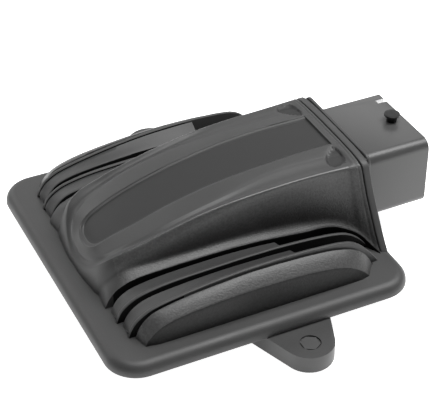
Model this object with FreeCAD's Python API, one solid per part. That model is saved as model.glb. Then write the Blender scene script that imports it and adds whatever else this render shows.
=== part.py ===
import FreeCAD
import Part
import math
import os

from FreeCAD import Vector

# Trailer brake controller, sealed module with a lever-lock header.
# X points out of the connector, Y across the louvred wings, Z up.
# The origin is on the mounting face, under the middle of the cover skirt.
# Millimetres throughout.

# ---------------------------------------------------------------- cover skirt
SKIRT_HALF_X = 60.4
SKIRT_HALF_Y = 63.7
SKIRT_CORNER_R = 12.5
SKIRT_THICK = 4.9
SKIRT_TOP_ROUND = 4.2
SKIRT_FOOT_ROUND = 0.4

# ------------------------------------------------------------------ base plate
BASE_THICK = 7.3
BASE_INSET_X = 5.4
BASE_INSET_Y = 8.7
BASE_CORNER_R = 8.0
BASE_FLOOR = 2.4
BASE_RIM = 9.5
BASE_EDGE_ROUND = 0.8

# ---------------------------------------------------------------- mounting ears
EAR_X = 10.1
EAR_TIP_R = 9.5
EAR_TIP_Y = SKIRT_HALF_Y + 7.3
EAR_HOLE_Y = SKIRT_HALF_Y + 8.5
EAR_TAPER_DEG = 20.6
EAR_RECESS_R = 3.9
EAR_RECESS_DEPTH = 0.7
INSERT_ACROSS_FLATS = 6.4
INSERT_TURN_DEG = 30.0
INSERT_RISE = 0.45
INSERT_BORE_R = 1.65
INSERT_BORE_DEPTH = 4.4

# -------------------------------------------------------------------- the dome
DOME_TOP_Z = 43.1
DOME_FRONT_X = 8.4 - SKIRT_HALF_X
DOME_FRONT_BULGE = 1.7
DOME_REAR_X = SKIRT_HALF_X - 5.2
DOME_NOSE_X = DOME_FRONT_X + 8.0
DOME_NOSE_Z = DOME_TOP_Z - 17.4
DOME_NOSE_STEEP_X = DOME_FRONT_X + 2.7
DOME_NOSE_STEEP_Z = DOME_TOP_Z - 23.8
DOME_CROWN_X = 0.5 * SKIRT_HALF_X
DOME_MID_X = -0.2 * SKIRT_HALF_X
DOME_MID_Z = DOME_TOP_Z - 5.8
DOME_LIP_DROP = 1.6
DOME_FOOT_HALF_Y = 22.5
DOME_FOOT_SPREAD = 6.0
DOME_HEAD_HALF_Y = 20.0
DOME_HEAD_SPREAD = 4.6
DOME_FOOT_CORNER_R = 4.0
DOME_HEAD_CORNER_R = 17.0
DOME_HEAD_SETBACK = 6.0
DOME_PANEL_HALF_Y = 11.2
PANEL_DEPTH = 0.8
PANEL_FRONT_X = DOME_FRONT_X + 7.5
PANEL_REAR_X = DOME_REAR_X - 3.7
VALLEY_OUTER_GAP = 1.6
VALLEY_WIDTH = 4.0
VALLEY_DEPTH = 0.9
VALLEY_FRONT_X = DOME_FRONT_X + 6.5
VALLEY_REAR_X = DOME_REAR_X - 5.2

# ------------------------------------------------------- flare into the header
FLARE_START_X = DOME_REAR_X - 27.2
FLARE_MIDDLE_X = DOME_REAR_X - 11.2
FLARE_FOOT_Z = BASE_THICK + 3.2
FLARE_FOOT_HALF_Y = 45.1
FLARE_WAIST_HALF_Y = 35.5
FLARE_WAIST_Z = DOME_TOP_Z - 19.5
FLARE_SHOULDER_HALF_Y = 27.2
FLARE_SHOULDER_DROP = 3.4
FLARE_HEAD_HALF_Y = 23.5
FLARE_HEAD_CROWN = 1.0
FLARE_TUCK = 0.5
FLARE_START_BOW = 0.4

# ------------------------------------------------------------ louvred wings
WING_SPAN = SKIRT_HALF_Y / 63.7
ARCH_STRETCH = SKIRT_HALF_X / 60.4
LEDGE_EDGE_Y = 28.9 * WING_SPAN
LEDGE_ROOT_Y = 25.2
SLOT_ONE_WIDTH = 2.1
RIB_ONE_OUTER_Y = 38.4 * WING_SPAN
RIB_WIDTH = 1.4
RIB_FOOT_DRAW = 0.3
SLOT_TWO_WIDTH = 1.5
RIB_TWO_OUTER_Y = 47.4 * WING_SPAN
SLOT_THREE_WIDTH = 0.9
PILLOW_OUTER_Y = 54.8 * WING_SPAN
SLOT_FLOOR_RISE = 1.5
LOUVRE_END_X = 16.5 * ARCH_STRETCH
LOUVRE_END_STEP = 1.9
RIB_STAND = 0.6

# ----------------------------------------------------------- hollow and walls
WALL = 2.5
ROOF_OVER_BOARD = 2.5

# --------------------------------------------------------------- header moulding
SEAL_THICK = 0.6
SEAL_INSET = 1.4
FLANGE_X = DOME_REAR_X + SEAL_THICK
FLANGE_THICK = 2.9
COLLAR_NOTCH = 0.4
COLLAR_X = FLANGE_X + FLANGE_THICK + COLLAR_NOTCH
COLLAR_THICK = 1.35
COLLAR_HALF_Y = 25.0
COLLAR_CORNER_R = 3.0
COLLAR_TOP_Z = DOME_TOP_Z - 0.2
SHROUD_ROOT_X = COLLAR_X + COLLAR_THICK
SHROUD_HALF_Y = 19.7
SHROUD_LOW_Z = FLARE_FOOT_Z - 1.9
SHROUD_HIGH_Z = DOME_TOP_Z - 5.1
SHROUD_MOUTH_X = DOME_REAR_X + 34.9
SHROUD_WALL = 2.0
SHROUD_EDGE_R = 4.1
SHROUD_FLOOR_X = SHROUD_MOUTH_X - 24.1
SPIGOT_HALF_Y = SHROUD_HALF_Y + 0.7
SPIGOT_LOW_Z = SHROUD_LOW_Z + 5.5
SPIGOT_HIGH_Z = SHROUD_HIGH_Z - 1.7
SPIGOT_LENGTH = 4.6
SPIGOT_WALL = 2.0
SPIGOT_CLEAR = 0.3
POST_X = SHROUD_MOUTH_X - 5.4
POST_R = 2.1
POST_RISE = 3.1
POST_HEAD_R = 3.2
POST_HEAD_THICK = 1.0
KEYWAY_Y = SHROUD_HALF_Y - 5.7
KEYWAY_WIDTH = 2.3
KEYWAY_LENGTH = 3.9

# -------------------------------------------------------------------- terminals
PIN_TIP_CLEAR = 6.0
BLADE_COUNT = 4
BLADE_WIDTH = 4.8
BLADE_THICK = 0.8
BLADE_PITCH = 7.2
BLADE_ROW_Z = SHROUD_LOW_Z + 9.5
SIGNAL_PER_ROW = 6
SIGNAL_WIDTH = 1.2
SIGNAL_THICK = 0.8
SIGNAL_PITCH = 4.6
SIGNAL_ROWS_Z = (SHROUD_HIGH_Z - 12.7, SHROUD_HIGH_Z - 7.2)
PIN_TAIL = 1.1

# -------------------------------------------------------------- circuit board
BOARD_SIDE_CLEAR = 1.0
BOARD_THICK = 1.6
BOARD_Z = BASE_THICK - 2.0
BOARD_SCREW_INSET = 4.6
BOARD_SCREW_R = 1.25
BOARD_SCREW_HEAD_R = 2.3
BOARD_SCREW_HEAD = 1.5
BOARD_SCREW_BITE = 3.0
BOARD_BOSS_R = 3.4
HOLE_CLEAR = 0.2

# ---------------------------------------------------------------- cover gasket
GASKET_WIDTH = 2.0
GASKET_DEPTH = 1.4
GASKET_OFFSET = 1.7
GASKET_CLEAR = 0.1

# ---------------------------------------------------------------- cover screws
COVER_SCREW_R = 1.5
COVER_SCREW_HEAD_R = 2.8
COVER_SCREW_HEAD = 1.6
COVER_SCREW_SINK = 0.3
COVER_SCREW_BITE = 3.6
COVER_SCREW_OFFSET = 6.4
COVER_SCREW_ROW_INSET = 15.5
COVER_SCREW_ROW_X = -SKIRT_HALF_X / 3.0

# --------------------------------------------------- derived sizes and heights
SKIRT_LOW_Z = BASE_THICK
SKIRT_TOP_Z = SKIRT_LOW_Z + SKIRT_THICK
SLOT_FLOOR_Z = SKIRT_TOP_Z + SLOT_FLOOR_RISE
ROOF_Z = SKIRT_TOP_Z - ROOF_OVER_BOARD
BOARD_TOP_Z = BOARD_Z + BOARD_THICK
BASE_HALF_X = SKIRT_HALF_X - BASE_INSET_X
BASE_HALF_Y = SKIRT_HALF_Y - BASE_INSET_Y
POCKET_HALF_X = BASE_HALF_X - BASE_RIM
POCKET_HALF_Y = BASE_HALF_Y - BASE_RIM
BOARD_HALF_X = POCKET_HALF_X - BOARD_SIDE_CLEAR
BOARD_HALF_Y = POCKET_HALF_Y - BOARD_SIDE_CLEAR
BLADE_DROP_X = BOARD_HALF_X - 2.5
SIGNAL_ROWS_DROP_X = (BOARD_HALF_X - 7.0, BOARD_HALF_X - 11.5)

# ------------------------------------------------------- electronic components
SPREADER_X = 18.5 - BOARD_HALF_X
SPREADER_SIZE_X = 26.0
SPREADER_SIZE_Y = 36.0
PAD_THICK = 0.4
FET_SIZE_X = 10.0
FET_SIZE_Y = 9.0
FET_TALL = 4.4
FET_PITCH_X = FET_SIZE_X + 3.0
FET_PITCH_Y = FET_SIZE_Y + 7.0
CHOKE_X = BOARD_HALF_X - 28.5
CHOKE_OUTER_R = 11.0
CHOKE_INNER_R = 0.45 * CHOKE_OUTER_R
CHOKE_TALL = 11.0
CHOKE_CORE_CLEAR = 0.2
CHOKE_WIRE_R = 0.8
CHOKE_TURNS = 14
CAPACITOR_X = 0.5 * (SPREADER_X + CHOKE_X)
CAPACITOR_R = 6.3
CAPACITOR_TALL = 20.0
CAPACITOR_PITCH = 2.0 * CAPACITOR_R + 2.4
SHUNT_X = SPREADER_X
SHUNT_Y = 26.5
SHUNT_LONG = 12.0
SHUNT_WIDE = 5.0
SHUNT_TALL = 1.4
CHIP_X = 10.0
CHIP_Y = -32.0
CHIP_SIDE = 12.0
CHIP_TALL = 1.6
MOTION_X = -8.0
MOTION_Y = 33.0
MOTION_SIDE = 4.0
MOTION_TALL = 1.2
DRIVER_COUNT = 3
DRIVER_X = -34.0
DRIVER_Y = -33.0
DRIVER_PITCH = 10.0
DRIVER_LONG = 5.0
DRIVER_WIDE = 4.0
DRIVER_TALL = 1.6
CRYSTAL_X = 22.0
CRYSTAL_Y = -34.0
CRYSTAL_LONG = 5.0
CRYSTAL_WIDE = 3.2
CRYSTAL_TALL = 1.1
CLAMP_X = BOARD_HALF_X - 10.5
CLAMP_Y = 33.0
CLAMP_LONG = 7.0
CLAMP_WIDE = 5.6
CLAMP_TALL = 2.3
CLAMP_PITCH = 9.0
CHIP_CAP_COUNT = 8
CHIP_CAP_PITCH = 5.0
CHIP_CAP_LONG = 3.0
CHIP_CAP_WIDE = 1.6
CHIP_CAP_TALL = 1.2
CHIP_CAP_X = -18.0
CHIP_CAP_Y = BOARD_HALF_Y - 6.0
RESISTOR_Y = 4.5 - BOARD_HALF_Y
RESISTOR_TALL = 0.6



def box(x0, x1, y0, y1, z0, z1):
    """A block between two corners."""
    return Part.makeBox(x1 - x0, y1 - y0, z1 - z0, Vector(x0, y0, z0))


def rounded_block(half_x, half_y, radius, z0, z1, centre_x=0.0):
    """A block with round vertical corners, centred on the X axis."""
    block = box(centre_x - half_x, centre_x + half_x, -half_y, half_y, z0, z1)
    upright = [e for e in block.Edges if abs(e.Vertexes[0].Z - e.Vertexes[1].Z) > 0.5 * (z1 - z0)]
    return block.makeFillet(radius, upright)


def mirrored(shape):
    """The same shape on the other side of the XZ plane."""
    return shape.mirror(Vector(0, 0, 0), Vector(0, 1, 0))


def both_sides(shape):
    """A shape and its mirror image, as a list."""
    return [shape, mirrored(shape)]


def fuse_all(shapes):
    """One body out of many that touch."""
    return shapes[0].multiFuse(shapes[1:]).removeSplitter()


def edges_at_height(shape, z, tolerance=0.01):
    """The edges that lie flat at one height."""
    found = []
    for edge in shape.Edges:
        low = edge.BoundBox.ZMin
        high = edge.BoundBox.ZMax
        if abs(low - z) < tolerance and abs(high - z) < tolerance:
            found.append(edge)
    return found


# ================================================================= the arches
# Every raised part of the cover follows one kind of arch in the XZ plane:
# a steep nose that rises from the skirt, a long shallow crown, and a rear
# drop. The arch stands on a line that is sunk into the skirt.

def arch_wire(y, foot, shoulder, crown, rear_shoulder, rear_foot, base_z):
    """A closed arch at one Y, through five named points (x, z)."""
    nose_x = 0.72 * foot[0] + 0.28 * shoulder[0]
    nose_z = foot[1] + 0.62 * (shoulder[1] - foot[1])
    drop_x = 0.34 * rear_shoulder[0] + 0.66 * rear_foot[0]
    drop_z = rear_foot[1] + 0.54 * (rear_shoulder[1] - rear_foot[1])
    start = Vector(foot[0], y, foot[1])
    bend = Vector(shoulder[0], y, shoulder[1])
    rear = Vector(rear_shoulder[0], y, rear_shoulder[1])
    end = Vector(rear_foot[0], y, rear_foot[1])
    under_end = Vector(rear_foot[0], y, base_z)
    under_start = Vector(foot[0], y, base_z)
    return Part.Wire([
        Part.Arc(start, Vector(nose_x, y, nose_z), bend).toShape(),
        Part.Arc(bend, Vector(crown[0], y, crown[1]), rear).toShape(),
        Part.Arc(rear, Vector(drop_x, y, drop_z), end).toShape(),
        Part.LineSegment(end, under_end).toShape(),
        Part.LineSegment(under_end, under_start).toShape(),
        Part.LineSegment(under_start, start).toShape(),
    ])


def raised(*points):
    """Arch points given as (x, height over the skirt), stretched with the skirt."""
    return tuple((x * ARCH_STRETCH, SKIRT_TOP_Z + rise) for x, rise in points)


# The arches of the near wing, from the dome outwards: crown heights grow
# towards the outer rib, and both ends draw in with the curved front.
LEDGE_ARCH = raised((-51.0, 0.0), (-41.0, 8.8), (-8.0, 10.8), (42.0, 6.1), (54.2, 0.0))
BAND_ONE_ARCH = raised((-50.4, 0.0), (-41.0, 8.7), (0.0, 10.4), (41.0, 6.7), (54.0, 0.0))
RIB_ONE_ARCH = raised((-50.2, 0.0), (-41.2, 9.4), (4.0, 12.8), (41.0, 10.1), (53.8, 0.0))
BAND_TWO_ARCH = raised((-49.7, 0.0), (-40.8, 8.9), (4.0, 11.8), (40.5, 9.2), (53.0, 0.0))
RIB_TWO_ARCH = raised((-49.2, 0.0), (-40.6, 9.8), (6.0, 15.2), (39.5, 13.5), (52.0, 0.0))
PILLOW_ARCH = raised((-47.6, 0.0), (-40.0, 9.1), (6.0, 14.1), (37.0, 12.0), (50.2, 0.0))
PILLOW_TURN_ARCH = raised((-47.0, 0.0), (-39.4, 8.3), (6.0, 13.1), (36.4, 11.2), (49.6, 0.0))
PILLOW_BROW_ARCH = raised((-44.6, 0.0), (-37.4, 5.8), (6.0, 9.5), (34.4, 8.1), (47.4, 0.0))
PILLOW_FOOT_ARCH = raised((-38.4, 0.0), (-33.0, 0.4), (4.0, 0.8), (32.0, 0.6), (42.4, 0.0))
SLOT_FLOOR_ARCH = raised((-46.6, 0.0), (-43.0, 1.2), (4.0, 1.5), (46.0, 1.2), (49.4, 0.0))


def settle(arch, amount, draw=0.0):
    """The same arch with its crown lowered and its feet drawn in."""
    foot, shoulder, crown, rear_shoulder, rear_foot = arch
    return (
        (foot[0] + draw, foot[1]),
        (shoulder[0], shoulder[1] - amount),
        (crown[0], crown[1] - amount),
        (rear_shoulder[0], rear_shoulder[1] - amount),
        (rear_foot[0] - draw, rear_foot[1]),
    )


def arch_solid(inner_y, inner_arch, outer_y, outer_arch, base_z):
    """A fin between two arches on the near side, Y given as distances out."""
    return Part.makeLoft([
        arch_wire(-inner_y, *inner_arch, base_z),
        arch_wire(-outer_y, *outer_arch, base_z),
    ], True, True)


def wing_fins(base_z):
    """The near wing: ledge, two louvre bands, two ribs and the pillow."""
    band_one_y = LEDGE_EDGE_Y + SLOT_ONE_WIDTH
    rib_one_y = RIB_ONE_OUTER_Y - RIB_WIDTH
    band_two_y = RIB_ONE_OUTER_Y + SLOT_TWO_WIDTH
    rib_two_y = RIB_TWO_OUTER_Y - RIB_WIDTH
    pillow_y = RIB_TWO_OUTER_Y + SLOT_THREE_WIDTH
    pillow_span = PILLOW_OUTER_Y - pillow_y
    ledge_root = settle(LEDGE_ARCH, -(LEDGE_EDGE_Y - LEDGE_ROOT_Y) * 0.75)
    ledge = arch_solid(LEDGE_ROOT_Y - WALL, ledge_root, LEDGE_EDGE_Y, LEDGE_ARCH, base_z)
    band_one = arch_solid(band_one_y, BAND_ONE_ARCH, rib_one_y, settle(RIB_ONE_ARCH, RIB_STAND, RIB_FOOT_DRAW), base_z)
    rib_one = arch_solid(rib_one_y, RIB_ONE_ARCH, RIB_ONE_OUTER_Y, RIB_ONE_ARCH, base_z)
    band_two = arch_solid(band_two_y, BAND_TWO_ARCH, rib_two_y, settle(RIB_TWO_ARCH, RIB_STAND, RIB_FOOT_DRAW), base_z)
    rib_two = arch_solid(rib_two_y, RIB_TWO_ARCH, RIB_TWO_OUTER_Y, RIB_TWO_ARCH, base_z)
    pillow = Part.makeLoft([
        arch_wire(-pillow_y, *PILLOW_ARCH, base_z),
        arch_wire(-(pillow_y + 0.34 * pillow_span), *PILLOW_TURN_ARCH, base_z),
        arch_wire(-(pillow_y + 0.72 * pillow_span), *PILLOW_BROW_ARCH, base_z),
        arch_wire(-PILLOW_OUTER_Y, *PILLOW_FOOT_ARCH, base_z),
    ], True, True)
    far_x = RIB_ONE_ARCH[4][0] + 5.0
    open_one = box(LOUVRE_END_X, far_x, -rib_one_y, -LEDGE_EDGE_Y, SLOT_FLOOR_Z, DOME_TOP_Z)
    open_two = box(LOUVRE_END_X + LOUVRE_END_STEP, far_x, -rib_two_y, -RIB_ONE_OUTER_Y, SLOT_FLOOR_Z, DOME_TOP_Z)
    band_one = band_one.cut(open_one)
    band_two = band_two.cut(open_two)
    floor = arch_solid(LEDGE_EDGE_Y - 0.5, SLOT_FLOOR_ARCH, pillow_y + 0.5, SLOT_FLOOR_ARCH, base_z)
    return [ledge, band_one, rib_one, band_two, rib_two, pillow, floor]


# ==================================================================== the dome
def top_wire(y, drop, inset, base_z):
    """The dome's long profile at one Y; drop lowers the crown, inset is a wall."""
    front = Vector(DOME_FRONT_X + inset, y, SKIRT_TOP_Z - inset)
    steep = Vector(DOME_NOSE_STEEP_X + inset, y, DOME_NOSE_STEEP_Z - 0.3 * inset)
    nose = Vector(DOME_NOSE_X + 0.5 * inset, y, DOME_NOSE_Z - inset)
    middle = Vector(DOME_MID_X, y, DOME_MID_Z - inset - 0.5 * drop)
    crown = Vector(DOME_CROWN_X, y, DOME_TOP_Z - drop - inset)
    rear = Vector(DOME_REAR_X, y, DOME_TOP_Z - drop - inset)
    under_rear = Vector(DOME_REAR_X, y, base_z)
    under_front = Vector(DOME_FRONT_X + inset, y, base_z)
    return Part.Wire([
        Part.Arc(front, steep, nose).toShape(),
        Part.Arc(nose, middle, crown).toShape(),
        Part.LineSegment(crown, rear).toShape(),
        Part.LineSegment(rear, under_rear).toShape(),
        Part.LineSegment(under_rear, under_front).toShape(),
        Part.LineSegment(under_front, front).toShape(),
    ])


def top_solid(inset, base_z):
    """Everything under the dome's top: level over the panel, falling to the lips."""
    far_y = FLARE_FOOT_HALF_Y + 3.0
    lip_y = DOME_HEAD_HALF_Y + DOME_HEAD_SPREAD
    return Part.makeLoft([
        top_wire(-far_y, DOME_LIP_DROP, inset, base_z),
        top_wire(-lip_y, DOME_LIP_DROP, inset, base_z),
        top_wire(-DOME_PANEL_HALF_Y, 0.0, inset, base_z),
        top_wire(DOME_PANEL_HALF_Y, 0.0, inset, base_z),
        top_wire(lip_y, DOME_LIP_DROP, inset, base_z),
        top_wire(far_y, DOME_LIP_DROP, inset, base_z),
    ], True, True)


def nose_wire(z, front_x, bulge, front_half_y, rear_half_y, corner_r, rear_x):
    """A plan outline with a gently bowed front and two round corners."""
    corner_x = front_x + bulge
    arc_y = front_half_y - corner_r
    turn = corner_r * (1.0 - math.sqrt(0.5))
    front_mid = Vector(front_x, 0, z)
    left = Vector(corner_x, -arc_y, z)
    right = Vector(corner_x, arc_y, z)
    left_side = Vector(corner_x + corner_r, -front_half_y, z)
    right_side = Vector(corner_x + corner_r, front_half_y, z)
    left_turn = Vector(corner_x + turn, -front_half_y + turn, z)
    right_turn = Vector(corner_x + turn, front_half_y - turn, z)
    rear_left = Vector(rear_x, -rear_half_y, z)
    rear_right = Vector(rear_x, rear_half_y, z)
    return Part.Wire([
        Part.Arc(left, front_mid, right).toShape(),
        Part.Arc(right, right_turn, right_side).toShape(),
        Part.LineSegment(right_side, rear_right).toShape(),
        Part.LineSegment(rear_right, rear_left).toShape(),
        Part.LineSegment(rear_left, left_side).toShape(),
        Part.Arc(left_side, left_turn, left).toShape(),
    ])


def side_solid(inset, base_z):
    """The dome's walls, leaning in and setting back from skirt to lip."""
    foot_front = DOME_FRONT_X + inset
    head_front = DOME_FRONT_X + DOME_HEAD_SETBACK + inset
    foot_half = DOME_FOOT_HALF_Y - inset
    head_half = DOME_HEAD_HALF_Y - inset
    foot_r = DOME_FOOT_CORNER_R
    head_r = DOME_HEAD_CORNER_R - inset
    foot_rear = foot_half + DOME_FOOT_SPREAD
    head_rear = head_half + DOME_HEAD_SPREAD
    bulge = DOME_FRONT_BULGE
    return Part.makeLoft([
        nose_wire(base_z, foot_front, bulge, foot_half, foot_rear, foot_r, DOME_REAR_X),
        nose_wire(DOME_TOP_Z + 1.0, head_front, bulge, head_half, head_rear, head_r, DOME_REAR_X),
    ], True, True)


def trapezoid_wire(x, grow, foot_half, waist_half, shoulder_half, head_half, foot_z, top_z):
    """A flared section across the rear of the cover; grow offsets it outwards."""
    shoulder_z = top_z - FLARE_SHOULDER_DROP
    foot = foot_half + grow
    waist = waist_half + grow
    shoulder = shoulder_half + grow
    head = head_half + grow
    head_z = top_z + grow - FLARE_HEAD_CROWN
    turn_y = shoulder - 0.30 * (shoulder - head)
    turn_z = head_z - 0.30 * (head_z - shoulder_z - grow)
    waist_z = FLARE_WAIST_Z
    points = [
        Vector(x, -foot, foot_z),
        Vector(x, foot, foot_z),
        Vector(x, shoulder, shoulder_z + grow),
        Vector(x, head, head_z),
        Vector(x, -head, head_z),
        Vector(x, -shoulder, shoulder_z + grow),
    ]
    return Part.Wire([
        Part.LineSegment(points[0], points[1]).toShape(),
        Part.Arc(points[1], Vector(x, waist, waist_z), points[2]).toShape(),
        Part.Arc(points[2], Vector(x, turn_y, turn_z), points[3]).toShape(),
        Part.Arc(points[3], Vector(x, 0, top_z + grow), points[4]).toShape(),
        Part.Arc(points[4], Vector(x, -turn_y, turn_z), points[5]).toShape(),
        Part.Arc(points[5], Vector(x, -waist, waist_z), points[0]).toShape(),
    ])


def rear_section(x, grow, foot_z, top_z):
    """The full flared section, where the cover meets the header."""
    return trapezoid_wire(
        x, grow, FLARE_FOOT_HALF_Y, FLARE_WAIST_HALF_Y,
        FLARE_SHOULDER_HALF_Y, FLARE_HEAD_HALF_Y, foot_z, top_z,
    )


def wall_half_y(x, z):
    """Half the dome's width between its leaning walls, at one place."""
    run = DOME_REAR_X - DOME_FRONT_X
    along = (x - DOME_FRONT_X) / run
    foot_z = SKIRT_LOW_Z + 1.0
    up = (z - foot_z) / (DOME_TOP_Z + 1.0 - foot_z)
    foot = DOME_FOOT_HALF_Y + along * DOME_FOOT_SPREAD
    head = DOME_HEAD_HALF_Y + along * DOME_HEAD_SPREAD
    return foot + up * (head - foot)


def flare_solid(grow, rear_x):
    """The walls that sweep out from the dome to the header's outline."""
    start = FLARE_START_X
    slim = (
        wall_half_y(start, FLARE_FOOT_Z) - FLARE_TUCK,
        wall_half_y(start, FLARE_WAIST_Z) - FLARE_TUCK - FLARE_START_BOW,
        wall_half_y(start, DOME_TOP_Z - FLARE_SHOULDER_DROP) - FLARE_TUCK,
        wall_half_y(start, DOME_TOP_Z) - 2.0 * FLARE_TUCK,
    )
    full = (FLARE_FOOT_HALF_Y, FLARE_WAIST_HALF_Y, FLARE_SHOULDER_HALF_Y, FLARE_HEAD_HALF_Y)
    half = [s + 0.22 * (f - s) for s, f in zip(slim, full)]
    return Part.makeLoft([
        trapezoid_wire(FLARE_START_X, grow, *slim, FLARE_FOOT_Z, DOME_TOP_Z),
        trapezoid_wire(FLARE_MIDDLE_X, grow, *half, FLARE_FOOT_Z, DOME_TOP_Z),
        trapezoid_wire(rear_x, grow, *full, FLARE_FOOT_Z, DOME_TOP_Z),
    ], True, False)


def dome():
    """The raised middle of the cover, with its panel and its two valleys."""
    walls = side_solid(0.0, SKIRT_LOW_Z + 1.0)
    body = walls.common(top_solid(0.0, SKIRT_LOW_Z + 1.0))
    flare = flare_solid(0.0, DOME_REAR_X).common(top_solid(0.0, SKIRT_LOW_Z + 1.0))
    body = body.fuse(flare)
    panel_plan = nose_wire(
        SKIRT_TOP_Z, PANEL_FRONT_X, 1.0, DOME_PANEL_HALF_Y - 2.0, DOME_PANEL_HALF_Y, 7.0, PANEL_REAR_X,
    )
    panel_prism = Part.Face(panel_plan).extrude(Vector(0, 0, DOME_TOP_Z))
    panel_cut = panel_prism.cut(top_solid(PANEL_DEPTH, SKIRT_LOW_Z))
    lip = DOME_HEAD_HALF_Y
    outer_half = lip - VALLEY_OUTER_GAP
    inner_half = outer_half - VALLEY_WIDTH
    front = DOME_FRONT_X + VALLEY_OUTER_GAP
    outer_plan = nose_wire(
        SKIRT_TOP_Z, front, 1.4, outer_half, outer_half + DOME_HEAD_SPREAD - 1.0, 14.0, VALLEY_REAR_X,
    )
    inner_plan = nose_wire(
        SKIRT_TOP_Z, front + 0.6 * VALLEY_WIDTH, 1.2, inner_half, inner_half + 1.5, 12.0, VALLEY_REAR_X + 1.0,
    )
    ring = Part.Face(outer_plan).extrude(Vector(0, 0, DOME_TOP_Z))
    ring = ring.cut(Part.Face(inner_plan).extrude(Vector(0, 0, DOME_TOP_Z)))
    ring = ring.cut(box(-100.0, VALLEY_FRONT_X, -60.0, 60.0, 0.0, DOME_TOP_Z + 1.0))
    valley_cut = ring.cut(top_solid(VALLEY_DEPTH, SKIRT_LOW_Z))
    return body.cut(panel_cut).cut(valley_cut)


# =================================================================== the cover
def ring_block(half_x, half_y, radius, width, z0, z1):
    """A flat rounded frame, outside size given, with one width all round."""
    outer = rounded_block(half_x, half_y, radius, z0, z1)
    inner = rounded_block(half_x - width, half_y - width, radius - width, z0 - 1.0, z1 + 1.0)
    return outer.cut(inner)


def gasket_ring(clear, depth):
    """The frame of the cover gasket; clear widens it for its groove."""
    half_x = POCKET_HALF_X + GASKET_OFFSET + GASKET_WIDTH + clear
    half_y = POCKET_HALF_Y + GASKET_OFFSET + GASKET_WIDTH + clear
    width = GASKET_WIDTH + 2.0 * clear
    return ring_block(half_x, half_y, 5.0 + clear, width, SKIRT_LOW_Z, SKIRT_LOW_Z + depth)


def cover_screw_places():
    """Where the six cover screws stand, clear of the gasket."""
    x = POCKET_HALF_X + COVER_SCREW_OFFSET
    y = POCKET_HALF_Y + COVER_SCREW_OFFSET
    corners = [(sx * x, sy * (POCKET_HALF_Y - COVER_SCREW_ROW_INSET)) for sx in (-1, 1) for sy in (-1, 1)]
    return corners + [(COVER_SCREW_ROW_X, -y), (COVER_SCREW_ROW_X, y)]


def header_seat():
    """The block of space that the header's foot takes out of the skirt."""
    half_y = FLARE_FOOT_HALF_Y + HOLE_CLEAR
    return box(DOME_REAR_X, SKIRT_HALF_X + 5.0, -half_y, half_y, FLARE_FOOT_Z - HOLE_CLEAR, DOME_TOP_Z + 5.0)


def cover_hollow():
    """The inside of the cover: low over the board, tall under the dome."""
    low = rounded_block(POCKET_HALF_X, POCKET_HALF_Y, 3.0, SKIRT_LOW_Z - 1.0, ROOF_Z)
    tall = side_solid(WALL, SKIRT_LOW_Z - 1.0).common(top_solid(WALL, SKIRT_LOW_Z - 1.0))
    stop = DOME_REAR_X - 1.5 * WALL
    tall = tall.common(box(-90.0, stop, -60.0, 60.0, 0.0, DOME_TOP_Z))
    mouth_half = SPIGOT_HALF_Y + SPIGOT_CLEAR
    mouth = box(
        stop - 1.0, DOME_REAR_X + 1.0, -mouth_half, mouth_half,
        SPIGOT_LOW_Z - SPIGOT_CLEAR, SPIGOT_HIGH_Z + SPIGOT_CLEAR,
    )
    return [low, tall, mouth]


def top_cover():
    """The moulded cover: skirt, dome and two louvred wings in one piece."""
    skirt = rounded_block(SKIRT_HALF_X, SKIRT_HALF_Y, SKIRT_CORNER_R, SKIRT_LOW_Z, SKIRT_TOP_Z)
    skirt = skirt.makeFillet(SKIRT_TOP_ROUND, edges_at_height(skirt, SKIRT_TOP_Z))
    skirt = skirt.makeFillet(SKIRT_FOOT_ROUND, edges_at_height(skirt, SKIRT_LOW_Z))
    fins = []
    for fin in wing_fins(ROOF_Z - 1.0):
        fins.extend(both_sides(fin))
    body = fuse_all([skirt, dome()] + fins)
    for hollow in cover_hollow():
        body = body.cut(hollow)
    body = body.cut(gasket_ring(GASKET_CLEAR, GASKET_DEPTH + GASKET_CLEAR))
    for x, y in cover_screw_places():
        hole = Part.makeCylinder(COVER_SCREW_R, COVER_SCREW_BITE + HOLE_CLEAR, Vector(x, y, SKIRT_LOW_Z))
        body = body.cut(hole)
    return body.cut(header_seat())


def cover_gasket():
    """The rubber frame between cover and base."""
    return gasket_ring(0.0, GASKET_DEPTH)


# ==================================================================== the base
def ear_outline(side):
    """A tapered ear with a round tip, running in under the skirt."""
    angle = math.radians(EAR_TAPER_DEG)
    root_y = BASE_HALF_Y - 2.0
    tangent_x = EAR_TIP_R * math.cos(angle)
    tangent_y = EAR_TIP_Y + EAR_TIP_R * math.sin(angle)
    root_x = tangent_x + (tangent_y - root_y) * math.tan(angle)
    left_root = Vector(EAR_X - root_x, side * root_y, 0)
    right_root = Vector(EAR_X + root_x, side * root_y, 0)
    left = Vector(EAR_X - tangent_x, side * tangent_y, 0)
    right = Vector(EAR_X + tangent_x, side * tangent_y, 0)
    tip = Vector(EAR_X, side * (EAR_TIP_Y + EAR_TIP_R), 0)
    return Part.Wire([
        Part.LineSegment(left_root, left).toShape(),
        Part.Arc(left, tip, right).toShape(),
        Part.LineSegment(right, right_root).toShape(),
        Part.LineSegment(right_root, left_root).toShape(),
    ])


def hexagon(across_flats, x, y, z0, tall, turn_deg=0.0):
    """An upright hexagonal bar."""
    radius = across_flats / math.sqrt(3.0)
    points = []
    for k in range(7):
        turn = math.radians(60.0 * k + turn_deg)
        points.append(Vector(x + radius * math.cos(turn), y + radius * math.sin(turn), z0))
    return Part.Face(Part.makePolygon(points)).extrude(Vector(0, 0, tall))


def insert_top_z():
    """The height of an ear insert, just short of the ear's face."""
    return BASE_THICK - EAR_RECESS_DEPTH + INSERT_RISE


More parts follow.
